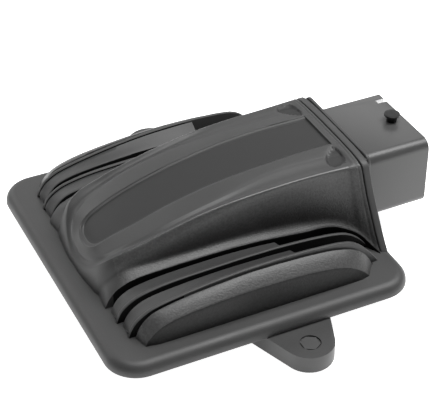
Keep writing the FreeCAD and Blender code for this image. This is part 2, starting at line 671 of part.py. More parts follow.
def board_screw_places():
    """The board's four screws, one in each corner."""
    x = BOARD_HALF_X - BOARD_SCREW_INSET
    y = BOARD_HALF_Y - BOARD_SCREW_INSET
    return [(sx * x, sy * y) for sx in (-1, 1) for sy in (-1, 1)]


def base_plate():
    """The moulded base with its two ears, board pocket and screw holes."""
    plate = rounded_block(BASE_HALF_X, BASE_HALF_Y, BASE_CORNER_R, 0.0, BASE_THICK)
    ears = []
    for side in (-1, 1):
        ear = Part.Face(ear_outline(side)).extrude(Vector(0, 0, BASE_THICK))
        ears.append(ear)
    body = fuse_all([plate] + ears)
    body = body.makeFillet(BASE_EDGE_ROUND, edges_at_height(body, 0.0))
    pocket = rounded_block(POCKET_HALF_X, POCKET_HALF_Y, 3.0, BASE_FLOOR, BASE_THICK + 1.0)
    bosses = []
    for x, y in board_screw_places():
        bosses.append(Part.makeCylinder(BOARD_BOSS_R, BOARD_Z - BASE_FLOOR + 0.5, Vector(x, y, BASE_FLOOR - 0.5)))
    body = fuse_all([body.cut(pocket)] + bosses)
    for x, y in board_screw_places():
        bite = BOARD_SCREW_BITE + HOLE_CLEAR
        body = body.cut(Part.makeCylinder(BOARD_SCREW_R, bite, Vector(x, y, BOARD_Z - bite)))
    for x, y in cover_screw_places():
        body = body.cut(Part.makeCylinder(COVER_SCREW_R + HOLE_CLEAR, BASE_THICK, Vector(x, y, 0)))
        deep = COVER_SCREW_SINK + COVER_SCREW_HEAD
        body = body.cut(Part.makeCylinder(COVER_SCREW_HEAD_R + HOLE_CLEAR, deep, Vector(x, y, 0)))
    for side in (-1, 1):
        y = side * EAR_HOLE_Y
        low = BASE_THICK - EAR_RECESS_DEPTH
        body = body.cut(Part.makeCylinder(EAR_RECESS_R, EAR_RECESS_DEPTH + 1.0, Vector(EAR_X, y, low)))
        body = body.cut(hexagon(INSERT_ACROSS_FLATS, EAR_X, y, 0.0, BASE_THICK, INSERT_TURN_DEG))
    return body


def ear_inserts():
    """The closed hexagonal inserts, tapped from the mounting face."""
    solids = []
    for side in (-1, 1):
        y = side * EAR_HOLE_Y
        bar = hexagon(INSERT_ACROSS_FLATS, EAR_X, y, 0.0, insert_top_z(), INSERT_TURN_DEG)
        bore = Part.makeCylinder(INSERT_BORE_R, INSERT_BORE_DEPTH, Vector(EAR_X, y, 0))
        solids.append(bar.cut(bore))
    return Part.makeCompound(solids)


def cover_screws():
    """Six pan-head screws that come up through the base into the cover."""
    solids = []
    for x, y in cover_screw_places():
        head = Part.makeCylinder(COVER_SCREW_HEAD_R, COVER_SCREW_HEAD, Vector(x, y, COVER_SCREW_SINK))
        top = SKIRT_LOW_Z + COVER_SCREW_BITE
        start = COVER_SCREW_SINK + 0.5 * COVER_SCREW_HEAD
        shank = Part.makeCylinder(COVER_SCREW_R, top - start, Vector(x, y, start))
        socket = hexagon(2.0, x, y, COVER_SCREW_SINK - 0.1, 1.0)
        solids.append(head.fuse(shank).removeSplitter().cut(socket))
    return Part.makeCompound(solids)


# ================================================================== the header
def header_section(x, inset, foot_z, top_z):
    """The outline shared by the header flange and its seal."""
    return rear_section(x, -inset, foot_z, top_z)


def terminal_places():
    """Each terminal as (kind, y, row height, drop x)."""
    places = []
    for k in range(BLADE_COUNT):
        y = (k - 0.5 * (BLADE_COUNT - 1)) * BLADE_PITCH
        places.append(("blade", y, BLADE_ROW_Z, BLADE_DROP_X))
    for row_z, drop_x in zip(SIGNAL_ROWS_Z, SIGNAL_ROWS_DROP_X):
        for k in range(SIGNAL_PER_ROW):
            y = (k - 0.5 * (SIGNAL_PER_ROW - 1)) * SIGNAL_PITCH
            places.append(("signal", y, row_z, drop_x))
    return places


def terminal(kind, y, row_z, drop_x):
    """One bent terminal: along the shroud, through the wall, down to the board."""
    wide = BLADE_WIDTH if kind == "blade" else SIGNAL_WIDTH
    thick = BLADE_THICK if kind == "blade" else SIGNAL_THICK
    tail = min(wide, 2.0)
    tip_x = SHROUD_MOUTH_X - PIN_TIP_CLEAR
    along = box(drop_x - 0.5 * thick, tip_x, y - 0.5 * wide, y + 0.5 * wide, row_z - 0.5 * thick, row_z + 0.5 * thick)
    down = box(
        drop_x - 0.5 * thick, drop_x + 0.5 * thick, y - 0.5 * wide, y + 0.5 * wide,
        BOARD_TOP_Z + 0.3, row_z + 0.5 * thick,
    )
    leg = box(
        drop_x - 0.5 * thick, drop_x + 0.5 * thick, y - 0.5 * tail, y + 0.5 * tail,
        BOARD_Z - PIN_TAIL, BOARD_TOP_Z + 0.4,
    )
    return fuse_all([along, down, leg])


def terminals(kind):
    """All terminals of one kind."""
    solids = []
    for name, y, row_z, drop_x in terminal_places():
        if name == kind:
            solids.append(terminal(name, y, row_z, drop_x))
    return solids


def lever_post(z, direction):
    """A mushroom post that the plug's lever turns on."""
    foot = Vector(POST_X, 0, z - direction * 0.5)
    stem = Part.makeCylinder(POST_R, POST_RISE + 0.5, foot, Vector(0, 0, direction))
    head_start = Vector(POST_X, 0, z + direction * (POST_RISE - POST_HEAD_THICK))
    head = Part.makeCylinder(POST_HEAD_R, POST_HEAD_THICK, head_start, Vector(0, 0, direction))
    rim = [e for e in head.Edges if abs(e.BoundBox.ZMin - (z + direction * POST_RISE)) < 0.01]
    rim = [e for e in rim if abs(e.BoundBox.ZMax - e.BoundBox.ZMin) < 0.01]
    head = head.makeFillet(0.4 * POST_HEAD_THICK, rim)
    return stem.fuse(head).removeSplitter()


def header_body():
    """The connector moulding: spigot, flange, collar and lever-lock shroud."""
    flange = Part.makeLoft([
        header_section(FLANGE_X, 0.0, FLARE_FOOT_Z, DOME_TOP_Z),
        header_section(FLANGE_X + FLANGE_THICK, 0.0, FLARE_FOOT_Z, DOME_TOP_Z),
    ], True, True)
    web_half = COLLAR_HALF_Y - 1.0
    web = box(FLANGE_X + 1.0, COLLAR_X + 1.0, -web_half, web_half, FLARE_FOOT_Z, COLLAR_TOP_Z - 1.0)
    collar = box(COLLAR_X, SHROUD_ROOT_X, -COLLAR_HALF_Y, COLLAR_HALF_Y, FLARE_FOOT_Z, COLLAR_TOP_Z)
    along = [e for e in collar.Edges if abs(e.Vertexes[0].X - e.Vertexes[1].X) > 0.5 * COLLAR_THICK]
    collar = collar.makeFillet(COLLAR_CORNER_R, along)
    shroud = box(
        SHROUD_ROOT_X, SHROUD_MOUTH_X, -SHROUD_HALF_Y, SHROUD_HALF_Y, SHROUD_LOW_Z, SHROUD_HIGH_Z,
    )
    span = SHROUD_MOUTH_X - SHROUD_ROOT_X
    along = [e for e in shroud.Edges if abs(e.Vertexes[0].X - e.Vertexes[1].X) > 0.5 * span]
    shroud = shroud.makeFillet(SHROUD_EDGE_R, along)
    hollow = box(
        SHROUD_FLOOR_X, SHROUD_MOUTH_X + 1.0,
        -SHROUD_HALF_Y + SHROUD_WALL, SHROUD_HALF_Y - SHROUD_WALL,
        SHROUD_LOW_Z + SHROUD_WALL, SHROUD_HIGH_Z - SHROUD_WALL,
    )
    along = [e for e in hollow.Edges if abs(e.Vertexes[0].X - e.Vertexes[1].X) > 0.5 * span]
    hollow = hollow.makeFillet(SHROUD_EDGE_R - 0.5 * SHROUD_WALL, along)
    spigot = box(
        FLANGE_X - SPIGOT_LENGTH, FLANGE_X + 0.5, -SPIGOT_HALF_Y, SPIGOT_HALF_Y, SPIGOT_LOW_Z, SPIGOT_HIGH_Z,
    )
    spigot_core = box(
        FLANGE_X - SPIGOT_LENGTH - 1.0, FLANGE_X,
        -SPIGOT_HALF_Y + SPIGOT_WALL, SPIGOT_HALF_Y - SPIGOT_WALL,
        SPIGOT_LOW_Z + SPIGOT_WALL, SPIGOT_HIGH_Z - SPIGOT_WALL,
    )
    keyway = box(
        SHROUD_MOUTH_X - KEYWAY_LENGTH, SHROUD_MOUTH_X + 1.0,
        KEYWAY_Y - 0.5 * KEYWAY_WIDTH, KEYWAY_Y + 0.5 * KEYWAY_WIDTH,
        SHROUD_HIGH_Z - SHROUD_WALL - 2.0, SHROUD_HIGH_Z + 1.0,
    )
    body = fuse_all([flange, web, collar, shroud, spigot.cut(spigot_core)])
    body = body.cut(hollow).cut(keyway)
    body = fuse_all([body, lever_post(SHROUD_HIGH_Z, 1), lever_post(SHROUD_LOW_Z, -1)])
    for pin in terminals("blade") + terminals("signal"):
        body = body.cut(pin)
    return body


def header_seal():
    """The flat rubber seal between the cover's rear face and the flange."""
    ring = Part.makeLoft([
        header_section(DOME_REAR_X, SEAL_INSET, FLARE_FOOT_Z, DOME_TOP_Z),
        header_section(FLANGE_X, SEAL_INSET, FLARE_FOOT_Z, DOME_TOP_Z),
    ], True, True)
    ring = ring.cut(box(0.0, 120.0, -90.0, 90.0, 0.0, FLARE_FOOT_Z + SEAL_INSET))
    hole_half = SPIGOT_HALF_Y + SPIGOT_CLEAR
    hole = box(
        DOME_REAR_X - 1.0, FLANGE_X + 1.0, -hole_half, hole_half,
        SPIGOT_LOW_Z - SPIGOT_CLEAR, SPIGOT_HIGH_Z + SPIGOT_CLEAR,
    )
    return ring.cut(hole)


# ============================================================ the electronics
def on_board(x, y, long_x, wide_y, tall):
    """A block standing on the board, centred at x, y."""
    return box(x - 0.5 * long_x, x + 0.5 * long_x, y - 0.5 * wide_y, y + 0.5 * wide_y, BOARD_TOP_Z, BOARD_TOP_Z + tall)


def main_board():
    """The circuit board, drilled for its screws and for every terminal."""
    board = rounded_block(BOARD_HALF_X, BOARD_HALF_Y, 2.0, BOARD_Z, BOARD_TOP_Z)
    for x, y in board_screw_places():
        radius = BOARD_SCREW_R + HOLE_CLEAR
        board = board.cut(Part.makeCylinder(radius, BOARD_THICK + 2.0, Vector(x, y, BOARD_Z - 1.0)))
    for pin in terminals("blade") + terminals("signal"):
        board = board.cut(pin)
    return board


def board_screws():
    """Four screws that hold the board to the base."""
    solids = []
    for x, y in board_screw_places():
        low = BOARD_Z - BOARD_SCREW_BITE
        shank = Part.makeCylinder(BOARD_SCREW_R, BOARD_TOP_Z - low + 0.5, Vector(x, y, low))
        head = Part.makeCylinder(BOARD_SCREW_HEAD_R, BOARD_SCREW_HEAD, Vector(x, y, BOARD_TOP_Z))
        solids.append(shank.fuse(head).removeSplitter())
    return Part.makeCompound(solids)


def heat_spreader():
    """The aluminium block that takes heat from the board to the base."""
    half_x = 0.5 * SPREADER_SIZE_X
    half_y = 0.5 * SPREADER_SIZE_Y
    return box(SPREADER_X - half_x, SPREADER_X + half_x, -half_y, half_y, BASE_FLOOR, BOARD_Z - PAD_THICK)


def thermal_pad():
    """The soft pad between the spreader and the board."""
    half_x = 0.5 * SPREADER_SIZE_X
    half_y = 0.5 * SPREADER_SIZE_Y
    return box(SPREADER_X - half_x, SPREADER_X + half_x, -half_y, half_y, BOARD_Z - PAD_THICK, BOARD_Z)


def power_transistors():
    """Four tabbed power transistors over the spreader."""
    solids = []
    for sx in (-0.5, 0.5):
        for sy in (-0.5, 0.5):
            x = SPREADER_X + sx * FET_PITCH_X
            y = sy * FET_PITCH_Y
            body = on_board(x, y, FET_SIZE_X, FET_SIZE_Y, FET_TALL)
            tab = on_board(x, y + math.copysign(0.5 * FET_SIZE_Y + 0.7, sy), FET_SIZE_X, 1.4, 1.3)
            solids.append(body.fuse(tab).removeSplitter())
    return Part.makeCompound(solids)


def bulk_capacitors():
    """Two upright electrolytic cans."""
    solids = []
    for sy in (-0.5, 0.5):
        can = Part.makeCylinder(CAPACITOR_R, CAPACITOR_TALL, Vector(CAPACITOR_X, sy * CAPACITOR_PITCH, BOARD_TOP_Z))
        rim = edges_at_height(can, BOARD_TOP_Z + CAPACITOR_TALL)
        solids.append(can.makeFillet(0.8, rim))
    return Part.makeCompound(solids)


def choke_core():
    """The ring core of the output choke."""
    foot = Vector(CHOKE_X, 0, BOARD_TOP_Z + 2.0 * CHOKE_WIRE_R)
    outer = Part.makeCylinder(CHOKE_OUTER_R - CHOKE_WIRE_R - CHOKE_CORE_CLEAR, CHOKE_TALL, foot)
    inner = Part.makeCylinder(CHOKE_INNER_R + CHOKE_WIRE_R + CHOKE_CORE_CLEAR, CHOKE_TALL, foot)
    return outer.cut(inner)


def choke_winding():
    """The choke's copper turns, each a square loop about the ring."""
    low = BOARD_TOP_Z
    high = BOARD_TOP_Z + 4.0 * CHOKE_WIRE_R + CHOKE_TALL
    thick = 2.0 * CHOKE_WIRE_R
    solids = []
    for k in range(CHOKE_TURNS):
        start = CHOKE_INNER_R - CHOKE_WIRE_R
        stop = CHOKE_OUTER_R + CHOKE_WIRE_R
        loop = box(start, stop, -CHOKE_WIRE_R, CHOKE_WIRE_R, low, high)
        gap = box(CHOKE_INNER_R + CHOKE_WIRE_R, CHOKE_OUTER_R - CHOKE_WIRE_R, -2.0, 2.0, low + thick, high - thick)
        turn = loop.cut(gap)
        turn.rotate(Vector(0, 0, 0), Vector(0, 0, 1), 360.0 * k / CHOKE_TURNS)
        turn.translate(Vector(CHOKE_X, 0, 0))
        solids.append(turn)
    return Part.makeCompound(solids)


def current_shunt():
    """The flat metal strip that measures the brake current."""
    strip = on_board(SHUNT_X, SHUNT_Y, SHUNT_LONG, SHUNT_WIDE, SHUNT_TALL)
    under = box(
        SHUNT_X - 0.28 * SHUNT_LONG, SHUNT_X + 0.28 * SHUNT_LONG,
        SHUNT_Y - SHUNT_WIDE, SHUNT_Y + SHUNT_WIDE, BOARD_TOP_Z, BOARD_TOP_Z + 0.4 * SHUNT_TALL,
    )
    return strip.cut(under)


def leaded_chip(x, y, body_x, body_y, tall, lead_pitch, leads_on_x):
    """A moulded chip with gull leads on two sides or on all four."""
    body = box(
        x - 0.5 * body_x, x + 0.5 * body_x, y - 0.5 * body_y, y + 0.5 * body_y,
        BOARD_TOP_Z + 0.1, BOARD_TOP_Z + tall,
    )
    parts = [body]
    reach = 1.0
    count_x = int((body_x - 1.0) / lead_pitch) + 1
    for k in range(count_x):
        lead_x = x + (k - 0.5 * (count_x - 1)) * lead_pitch
        parts.append(box(
            lead_x - 0.2 * lead_pitch, lead_x + 0.2 * lead_pitch,
            y - 0.5 * body_y - reach, y + 0.5 * body_y + reach, BOARD_TOP_Z, BOARD_TOP_Z + 0.3,
        ))
    count_y = int((body_y - 1.0) / lead_pitch) + 1 if leads_on_x else 0
    for k in range(count_y):
        lead_y = y + (k - 0.5 * (count_y - 1)) * lead_pitch
        parts.append(box(
            x - 0.5 * body_x - reach, x + 0.5 * body_x + reach,
            lead_y - 0.2 * lead_pitch, lead_y + 0.2 * lead_pitch, BOARD_TOP_Z, BOARD_TOP_Z + 0.3,
        ))
    return fuse_all(parts)


def microcontroller():
    """The processor, with leads on all four sides."""
    return leaded_chip(CHIP_X, CHIP_Y, CHIP_SIDE, CHIP_SIDE, CHIP_TALL, 1.0, True)


def driver_chips():
    """The small gate driver, regulator and bus chips in a row."""
    solids = []
    for k in range(DRIVER_COUNT):
        x = DRIVER_X + k * DRIVER_PITCH
        solids.append(leaded_chip(x, DRIVER_Y, DRIVER_LONG, DRIVER_WIDE, DRIVER_TALL, 1.27, False))
    return Part.makeCompound(solids)


def motion_sensor():
    """The inertia sensor that feels the tow vehicle braking."""
    return on_board(MOTION_X, MOTION_Y, MOTION_SIDE, MOTION_SIDE, MOTION_TALL)


def clock_crystal():
    """The processor's crystal in its metal can."""
    return on_board(CRYSTAL_X, CRYSTAL_Y, CRYSTAL_LONG, CRYSTAL_WIDE, CRYSTAL_TALL)


def clamp_diodes():
    """Two diodes that clamp surges on the supply and the brake output."""
    solids = []
    for k in range(2):
        x = CLAMP_X - k * CLAMP_PITCH
        body = on_board(x, CLAMP_Y, CLAMP_WIDE, CLAMP_LONG - 1.6, CLAMP_TALL)
        strap = on_board(x, CLAMP_Y, 0.5 * CLAMP_WIDE, CLAMP_LONG, 0.4)
        solids.append(body.fuse(strap).removeSplitter())
    return Part.makeCompound(solids)


def chip_row(y, tall):
    """A row of small two-ended chips."""
    solids = []
    for k in range(CHIP_CAP_COUNT):
        x = CHIP_CAP_X + k * CHIP_CAP_PITCH
        solids.append(on_board(x, y, CHIP_CAP_LONG, CHIP_CAP_WIDE, tall))
    return Part.makeCompound(solids)


# ===================================================================== output
def nodes():
    """Every node of the unit, by name."""
    return {
        "top_cover": top_cover(),
        "base_plate": base_plate(),
        "ear_inserts": ear_inserts(),
        "cover_gasket": cover_gasket(),
        "cover_screws": cover_screws(),
        "header_body": header_body(),
        "header_seal": header_seal(),
        "power_blades": Part.makeCompound(terminals("blade")),
        "signal_pins": Part.makeCompound(terminals("signal")),
        "main_board": main_board(),
        "board_screws": board_screws(),
        "heat_spreader": heat_spreader(),
        "thermal_pad": thermal_pad(),
        "power_transistors": power_transistors(),
        "bulk_capacitors": bulk_capacitors(),
        "choke_core": choke_core(),
        "choke_winding": choke_winding(),
        "current_shunt": current_shunt(),
        "microcontroller": microcontroller(),
        "driver_chips": driver_chips(),
        "motion_sensor": motion_sensor(),
        "clock_crystal": clock_crystal(),
        "clamp_diodes": clamp_diodes(),
        "chip_capacitors": chip_row(CHIP_CAP_Y, CHIP_CAP_TALL),
        "chip_resistors": chip_row(RESISTOR_Y, RESISTOR_TALL),
    }


def main():
    """Write one STEP file for each node."""
    os.makedirs("parts", exist_ok=True)
    for name, shape in nodes().items():
        print(name, len(shape.Solids), "solids", round(shape.Volume, 2), "mm3", "valid", shape.isValid())
        shape.exportStep(os.path.join("parts", name + ".step"))


main()
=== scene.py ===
import logging
import math
from dataclasses import dataclass, field
from enum import Enum
from typing import Callable, Optional

import bpy
import numpy as np
from mathutils import Matrix, Vector


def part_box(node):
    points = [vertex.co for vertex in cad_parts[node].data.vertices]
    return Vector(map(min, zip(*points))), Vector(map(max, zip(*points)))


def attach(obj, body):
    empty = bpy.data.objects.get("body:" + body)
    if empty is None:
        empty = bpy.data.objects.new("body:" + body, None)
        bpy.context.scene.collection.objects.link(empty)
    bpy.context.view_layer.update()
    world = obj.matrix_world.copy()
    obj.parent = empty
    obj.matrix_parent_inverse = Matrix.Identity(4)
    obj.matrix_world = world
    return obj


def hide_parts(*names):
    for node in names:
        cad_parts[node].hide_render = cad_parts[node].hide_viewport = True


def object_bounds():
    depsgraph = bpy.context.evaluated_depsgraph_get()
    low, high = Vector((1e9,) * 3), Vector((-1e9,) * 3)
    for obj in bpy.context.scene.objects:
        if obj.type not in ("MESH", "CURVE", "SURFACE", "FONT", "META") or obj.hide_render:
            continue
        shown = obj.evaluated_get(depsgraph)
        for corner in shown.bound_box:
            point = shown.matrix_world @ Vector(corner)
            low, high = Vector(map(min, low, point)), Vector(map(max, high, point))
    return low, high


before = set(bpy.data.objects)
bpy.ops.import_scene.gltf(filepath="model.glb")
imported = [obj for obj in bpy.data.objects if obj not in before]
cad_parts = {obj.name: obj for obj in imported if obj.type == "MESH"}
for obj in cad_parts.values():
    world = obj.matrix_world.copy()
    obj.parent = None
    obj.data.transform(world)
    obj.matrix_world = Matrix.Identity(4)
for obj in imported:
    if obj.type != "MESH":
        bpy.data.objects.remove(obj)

CAD_LOW, CAD_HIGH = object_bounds()
MM = 0.001
# The tables of heights are drawn with the skirt's flat top at this height.
DRAWN_DECK_Z = 11.1
LOG = logging.getLogger("brake_controller")

Point = tuple[float, float, float]
Array = np.ndarray
Test = Callable[[Vector, Vector], bool]


# =============================================================================
# The workshop: the few shaping moves that every sub-assembly uses
# =============================================================================
class Pick(Enum):
    """What a selection in edit mode is made of."""

    VERTS = "VERT"
    EDGES = "EDGE"
    FACES = "FACE"


class Workshop:
    """Modelling moves made with Blender's own operators, in millimetres."""

    @staticmethod
    def clear() -> None:
        """Leave edit mode and deselect everything."""
        active = bpy.context.view_layer.objects.active
        if active is not None and active.mode != "OBJECT":
            bpy.ops.object.mode_set(mode="OBJECT")
        bpy.ops.object.select_all(action="DESELECT")

    @staticmethod
    def only(piece: bpy.types.Object) -> None:
        """Make one object the whole selection.

        Args:
            piece: The object to select and make active.
        """
        Workshop.clear()
        piece.select_set(True)
        bpy.context.view_layer.objects.active = piece

    @staticmethod
    def settle(piece: bpy.types.Object) -> bpy.types.Object:
        """Put an object's place, turn and scale into its mesh.

        Args:
            piece: The finished object.

        Returns:
            The same object, at the origin.
        """
        Workshop.only(piece)
        bpy.ops.object.transform_apply(location=True, rotation=True, scale=True)
        return piece

    @staticmethod
    def block(name: str, low: Point, high: Point) -> bpy.types.Object:
        """A cube primitive between two corners.

        Args:
            name: The object's name.
            low: The lowest corner, in millimetres.
            high: The highest corner, in millimetres.

        Returns:
            The block, its place already in its mesh.
        """
        Workshop.clear()
        centre = [0.5 * (a + b) * MM for a, b in zip(low, high)]
        size = [(b - a) * MM for a, b in zip(low, high)]
        bpy.ops.mesh.primitive_cube_add(size=1.0, location=centre)
        piece = bpy.context.object
        piece.name = name
        piece.scale = size
        return Workshop.settle(piece)

    @staticmethod
    def drum(name: str, centre: Point, radius: float, tall: float, sides: int) -> bpy.types.Object:
        """An upright cylinder primitive.

        Args:
            name: The object's name.
            centre: The middle of the foot, in millimetres.
            radius: The radius, in millimetres.
            tall: The height, in millimetres.
            sides: How many sides the circle has.

        Returns:
            The cylinder.
        """
        Workshop.clear()
        middle = (centre[0] * MM, centre[1] * MM, (centre[2] + 0.5 * tall) * MM)
        bpy.ops.mesh.primitive_cylinder_add(
            vertices=sides, radius=radius * MM, depth=tall * MM, location=middle,
        )
        piece = bpy.context.object
        piece.name = name
        return Workshop.settle(piece)

    @staticmethod
    def skin(name: str, points: Array) -> bpy.types.Object:
        """A grid primitive laid over a net of points.

        Args:
            name: The object's name.
            points: The net, rows by columns by three, in millimetres.

        Returns:
            The open sheet.
        """
        rows, cols = points.shape[:2]
        Workshop.clear()
        bpy.ops.mesh.primitive_grid_add(
            x_subdivisions=cols - 1, y_subdivisions=rows - 1, size=1.0, location=(0, 0, 0),
        )
        piece = bpy.context.object
        piece.name = name
        mesh = piece.data
        flat = np.zeros(len(mesh.vertices) * 3, np.float32)
        mesh.vertices.foreach_get("co", flat)
        flat = flat.reshape(-1, 3)
        col = np.rint((flat[:, 0] + 0.5) * (cols - 1)).astype(int)
        row = np.rint((flat[:, 1] + 0.5) * (rows - 1)).astype(int)
        placed = points[row, col] * MM
        mesh.vertices.foreach_set("co", placed.astype(np.float32).ravel())
        mesh.update()
        return piece

    @staticmethod
    def select(piece: bpy.types.Object, kind: Pick, test: Test) -> int:
        """Select parts of a mesh by place, and stay in edit mode.

        Args:
            piece: The object.
            kind: Vertices, edges or faces.
            test: Says yes or no for two points in millimetres: an edge's two
                ends, a vertex twice, or a face's centre and its normal.

        Returns:
            How many were selected.
        """
        Workshop.only(piece)
        mesh = piece.data
        mesh.vertices.foreach_set("select", [False] * len(mesh.vertices))
        mesh.edges.foreach_set("select", [False] * len(mesh.edges))
        mesh.polygons.foreach_set("select", [False] * len(mesh.polygons))
        count = 0
        if kind is Pick.VERTS:
            for vert in mesh.vertices:
                if test(vert.co / MM, vert.co / MM):
                    vert.select = True
                    count += 1
        elif kind is Pick.EDGES:
            for edge in mesh.edges:
                a, b = (mesh.vertices[i].co / MM for i in edge.vertices)
                if test(a, b):
                    edge.select = True
                    count += 1
        else:
            for face in mesh.polygons:
                if test(face.center / MM, face.normal):
                    face.select = True
                    count += 1
        bpy.ops.object.mode_set(mode="EDIT")
        bpy.context.tool_settings.mesh_select_mode = tuple(kind is each for each in Pick)
        return count

    @staticmethod
    def done() -> None:
        """Leave edit mode."""
        bpy.ops.object.mode_set(mode="OBJECT")

    @staticmethod
    def bevel_edges(piece: bpy.types.Object, width: float, segments: int, test: Test) -> None:
        """Round the edges that a test picks.

        Args:
            piece: The object.
            width: The width of the rounding, in millimetres.
            segments: How many facets the rounding has.
            test: Picks edges by their two ends, in millimetres.
        """
        if Workshop.select(piece, Pick.EDGES, test):
            bpy.ops.mesh.bevel(offset=width * MM, segments=segments, profile=0.5, affect="EDGES")
        Workshop.done()

    @staticmethod
    def tidy(piece: bpy.types.Object, merge: float = 0.002) -> bpy.types.Object:
        """Merge doubles and point every face outwards.

        Args:
            piece: The object.
            merge: The merging distance, in millimetres.

        Returns:
            The same object.
        """
        Workshop.only(piece)
        bpy.ops.object.mode_set(mode="EDIT")
        bpy.ops.mesh.select_all(action="SELECT")
        bpy.ops.mesh.remove_doubles(threshold=merge * MM)
        bpy.ops.mesh.normals_make_consistent(inside=False)
        Workshop.done()
        return piece

    @staticmethod
    def soften(piece: bpy.types.Object, width: float, angle: float, segments: int) -> bpy.types.Object:
        """Break every sharp edge with a small bevel, and apply it.

        Args:
            piece: The object.
            width: The bevel's width, in millimetres.
            angle: Edges sharper than this many degrees are broken.
            segments: How many facets the bevel has.

        Returns:
            The same object.
        """
        Workshop.only(piece)
        bevel = piece.modifiers.new("soft_edges", "BEVEL")
        bevel.width = width * MM
        bevel.segments = segments
        bevel.limit_method = "ANGLE"
        bevel.angle_limit = math.radians(angle)
        bevel.use_clamp_overlap = True
        bevel.harden_normals = False
        bpy.ops.object.modifier_apply(modifier=bevel.name)
        return piece

    @staticmethod
    def smooth(piece: bpy.types.Object, angle: float) -> bpy.types.Object:
        """Shade smooth, but keep edges sharper than an angle.

        Args:
            piece: The object.
            angle: The angle, in degrees.

        Returns:
            The same object.
        """
        Workshop.only(piece)
        bpy.ops.object.shade_smooth_by_angle(angle=math.radians(angle))
        return piece

    @staticmethod
    def mirror_y(piece: bpy.types.Object) -> bpy.types.Object:
        """Complete a half mesh across the middle plane.

        Args:
            piece: The half, all of it on one side of Y = 0.

        Returns:
            The same object, whole.
        """
        Workshop.only(piece)
        twin = piece.modifiers.new("other_half", "MIRROR")
        twin.use_axis = (False, True, False)
        twin.use_clip = False
        twin.merge_threshold = 0.004 * MM
        bpy.ops.object.modifier_apply(modifier=twin.name)
        return piece

    @staticmethod
    def carve(piece: bpy.types.Object, tool: bpy.types.Object) -> bpy.types.Object:
        """Cut one closed object out of another, and throw the tool away.

        Args:
            piece: The object to cut.
            tool: The closed object to cut away.

        Returns:
            The cut object.
        """
        Workshop.only(piece)
        cut = piece.modifiers.new("carve", "BOOLEAN")
        cut.operation = "DIFFERENCE"
        cut.solver = "EXACT"
        cut.object = tool
        bpy.ops.object.modifier_apply(modifier=cut.name)
        bpy.data.objects.remove(tool, do_unlink=True)
        return piece

    @staticmethod
    def face_outwards(piece: bpy.types.Object) -> None:
        """Point every face of a closed object outwards.

        Args:
            piece: The object.
        """
        Workshop.only(piece)
        bpy.ops.object.mode_set(mode="EDIT")
        bpy.ops.mesh.select_all(action="SELECT")
        bpy.ops.mesh.normals_make_consistent(inside=False)
        Workshop.done()

    @staticmethod
    def close_loops(piece: bpy.types.Object) -> bpy.types.Object:
        """Fill every open boundary of a mesh.

        Args:
            piece: The object.

        Returns:
            The same object.
        """
        Workshop.only(piece)
        bpy.ops.object.mode_set(mode="EDIT")
        bpy.context.tool_settings.mesh_select_mode = (False, True, False)
        bpy.ops.mesh.select_all(action="DESELECT")
        bpy.ops.mesh.select_non_manifold(
            extend=False, use_wire=False, use_boundary=True,
            use_multi_face=False, use_non_contiguous=False, use_verts=False,
        )
        bpy.ops.mesh.edge_face_add()
        Workshop.done()
        return piece


# =============================================================================
# Finishes
# =============================================================================
Colour = tuple[float, float, float]
Socket = bpy.types.NodeSocket
# Noise is bunched round one half, so this much of it is spread to the full range.
NOISE_LOW, NOISE_HIGH = 0.3, 0.7


def grey(value: float) -> Colour:
    """A neutral linear colour.

    Args:
        value: How light it is.

    Returns:
        Red, green and blue.
    """
    return (value, value, value)


WHITE = grey(1.0)


class Graph:
    """A node tree, with short ways to fill it."""

    def __init__(self, tree: bpy.types.NodeTree) -> None:
        """Take a tree.

        Args:
            tree: The tree to fill.
        """
        self.tree = tree

    @classmethod
    def emptied(cls, owner: bpy.types.Material | bpy.types.World) -> "Graph":
        """The tree of a material or a world, with nothing in it.

        Args:
            owner: The material or the world.

        Returns:
            Its graph.
        """
        owner.use_nodes = True
        owner.node_tree.nodes.clear()
        return cls(owner.node_tree)

    def node(
        self, kind: str, inputs: Optional[dict[str | int, object]] = None, **values: object,
    ) -> bpy.types.Node:
        """Add a node.

        Args:
            kind: The node's type name.
            inputs: A socket to join or a value to set, for each named input.
            **values: Properties of the node.

        Returns:
            The node.
        """
        made = self.tree.nodes.new(kind)
        for key, value in values.items():
            setattr(made, key, value)
        for key, value in (inputs or {}).items():
            if isinstance(value, Socket):
                self.tree.links.new(value, made.inputs[key])
            else:
                made.inputs[key].default_value = value
        return made

    def mix(self, factor: Socket, first: Colour | Socket, second: Colour) -> Socket:
        """A colour between two others.

        Args:
            factor: 0 for the first and 1 for the second.
            first: A colour, or a socket that gives one.
            second: A colour.

        Returns:
            The result's socket.
        """
        start = first if isinstance(first, Socket) else (*first, 1.0)
        ends = {"A": start, "B": (*second, 1.0), "Factor": factor}
        return self.node("ShaderNodeMix", ends, data_type="RGBA").outputs["Result"]

    def maths(self, operation: str, first: Socket | float, second: Socket | float) -> Socket:
        """A sum over two sockets or numbers.

        Args:
            operation: The math node's operation.
            first: A socket or a number.
            second: A socket or a number.

        Returns:
            The result's socket.
        """
        return self.node("ShaderNodeMath", {0: first, 1: second}, operation=operation).outputs[0]


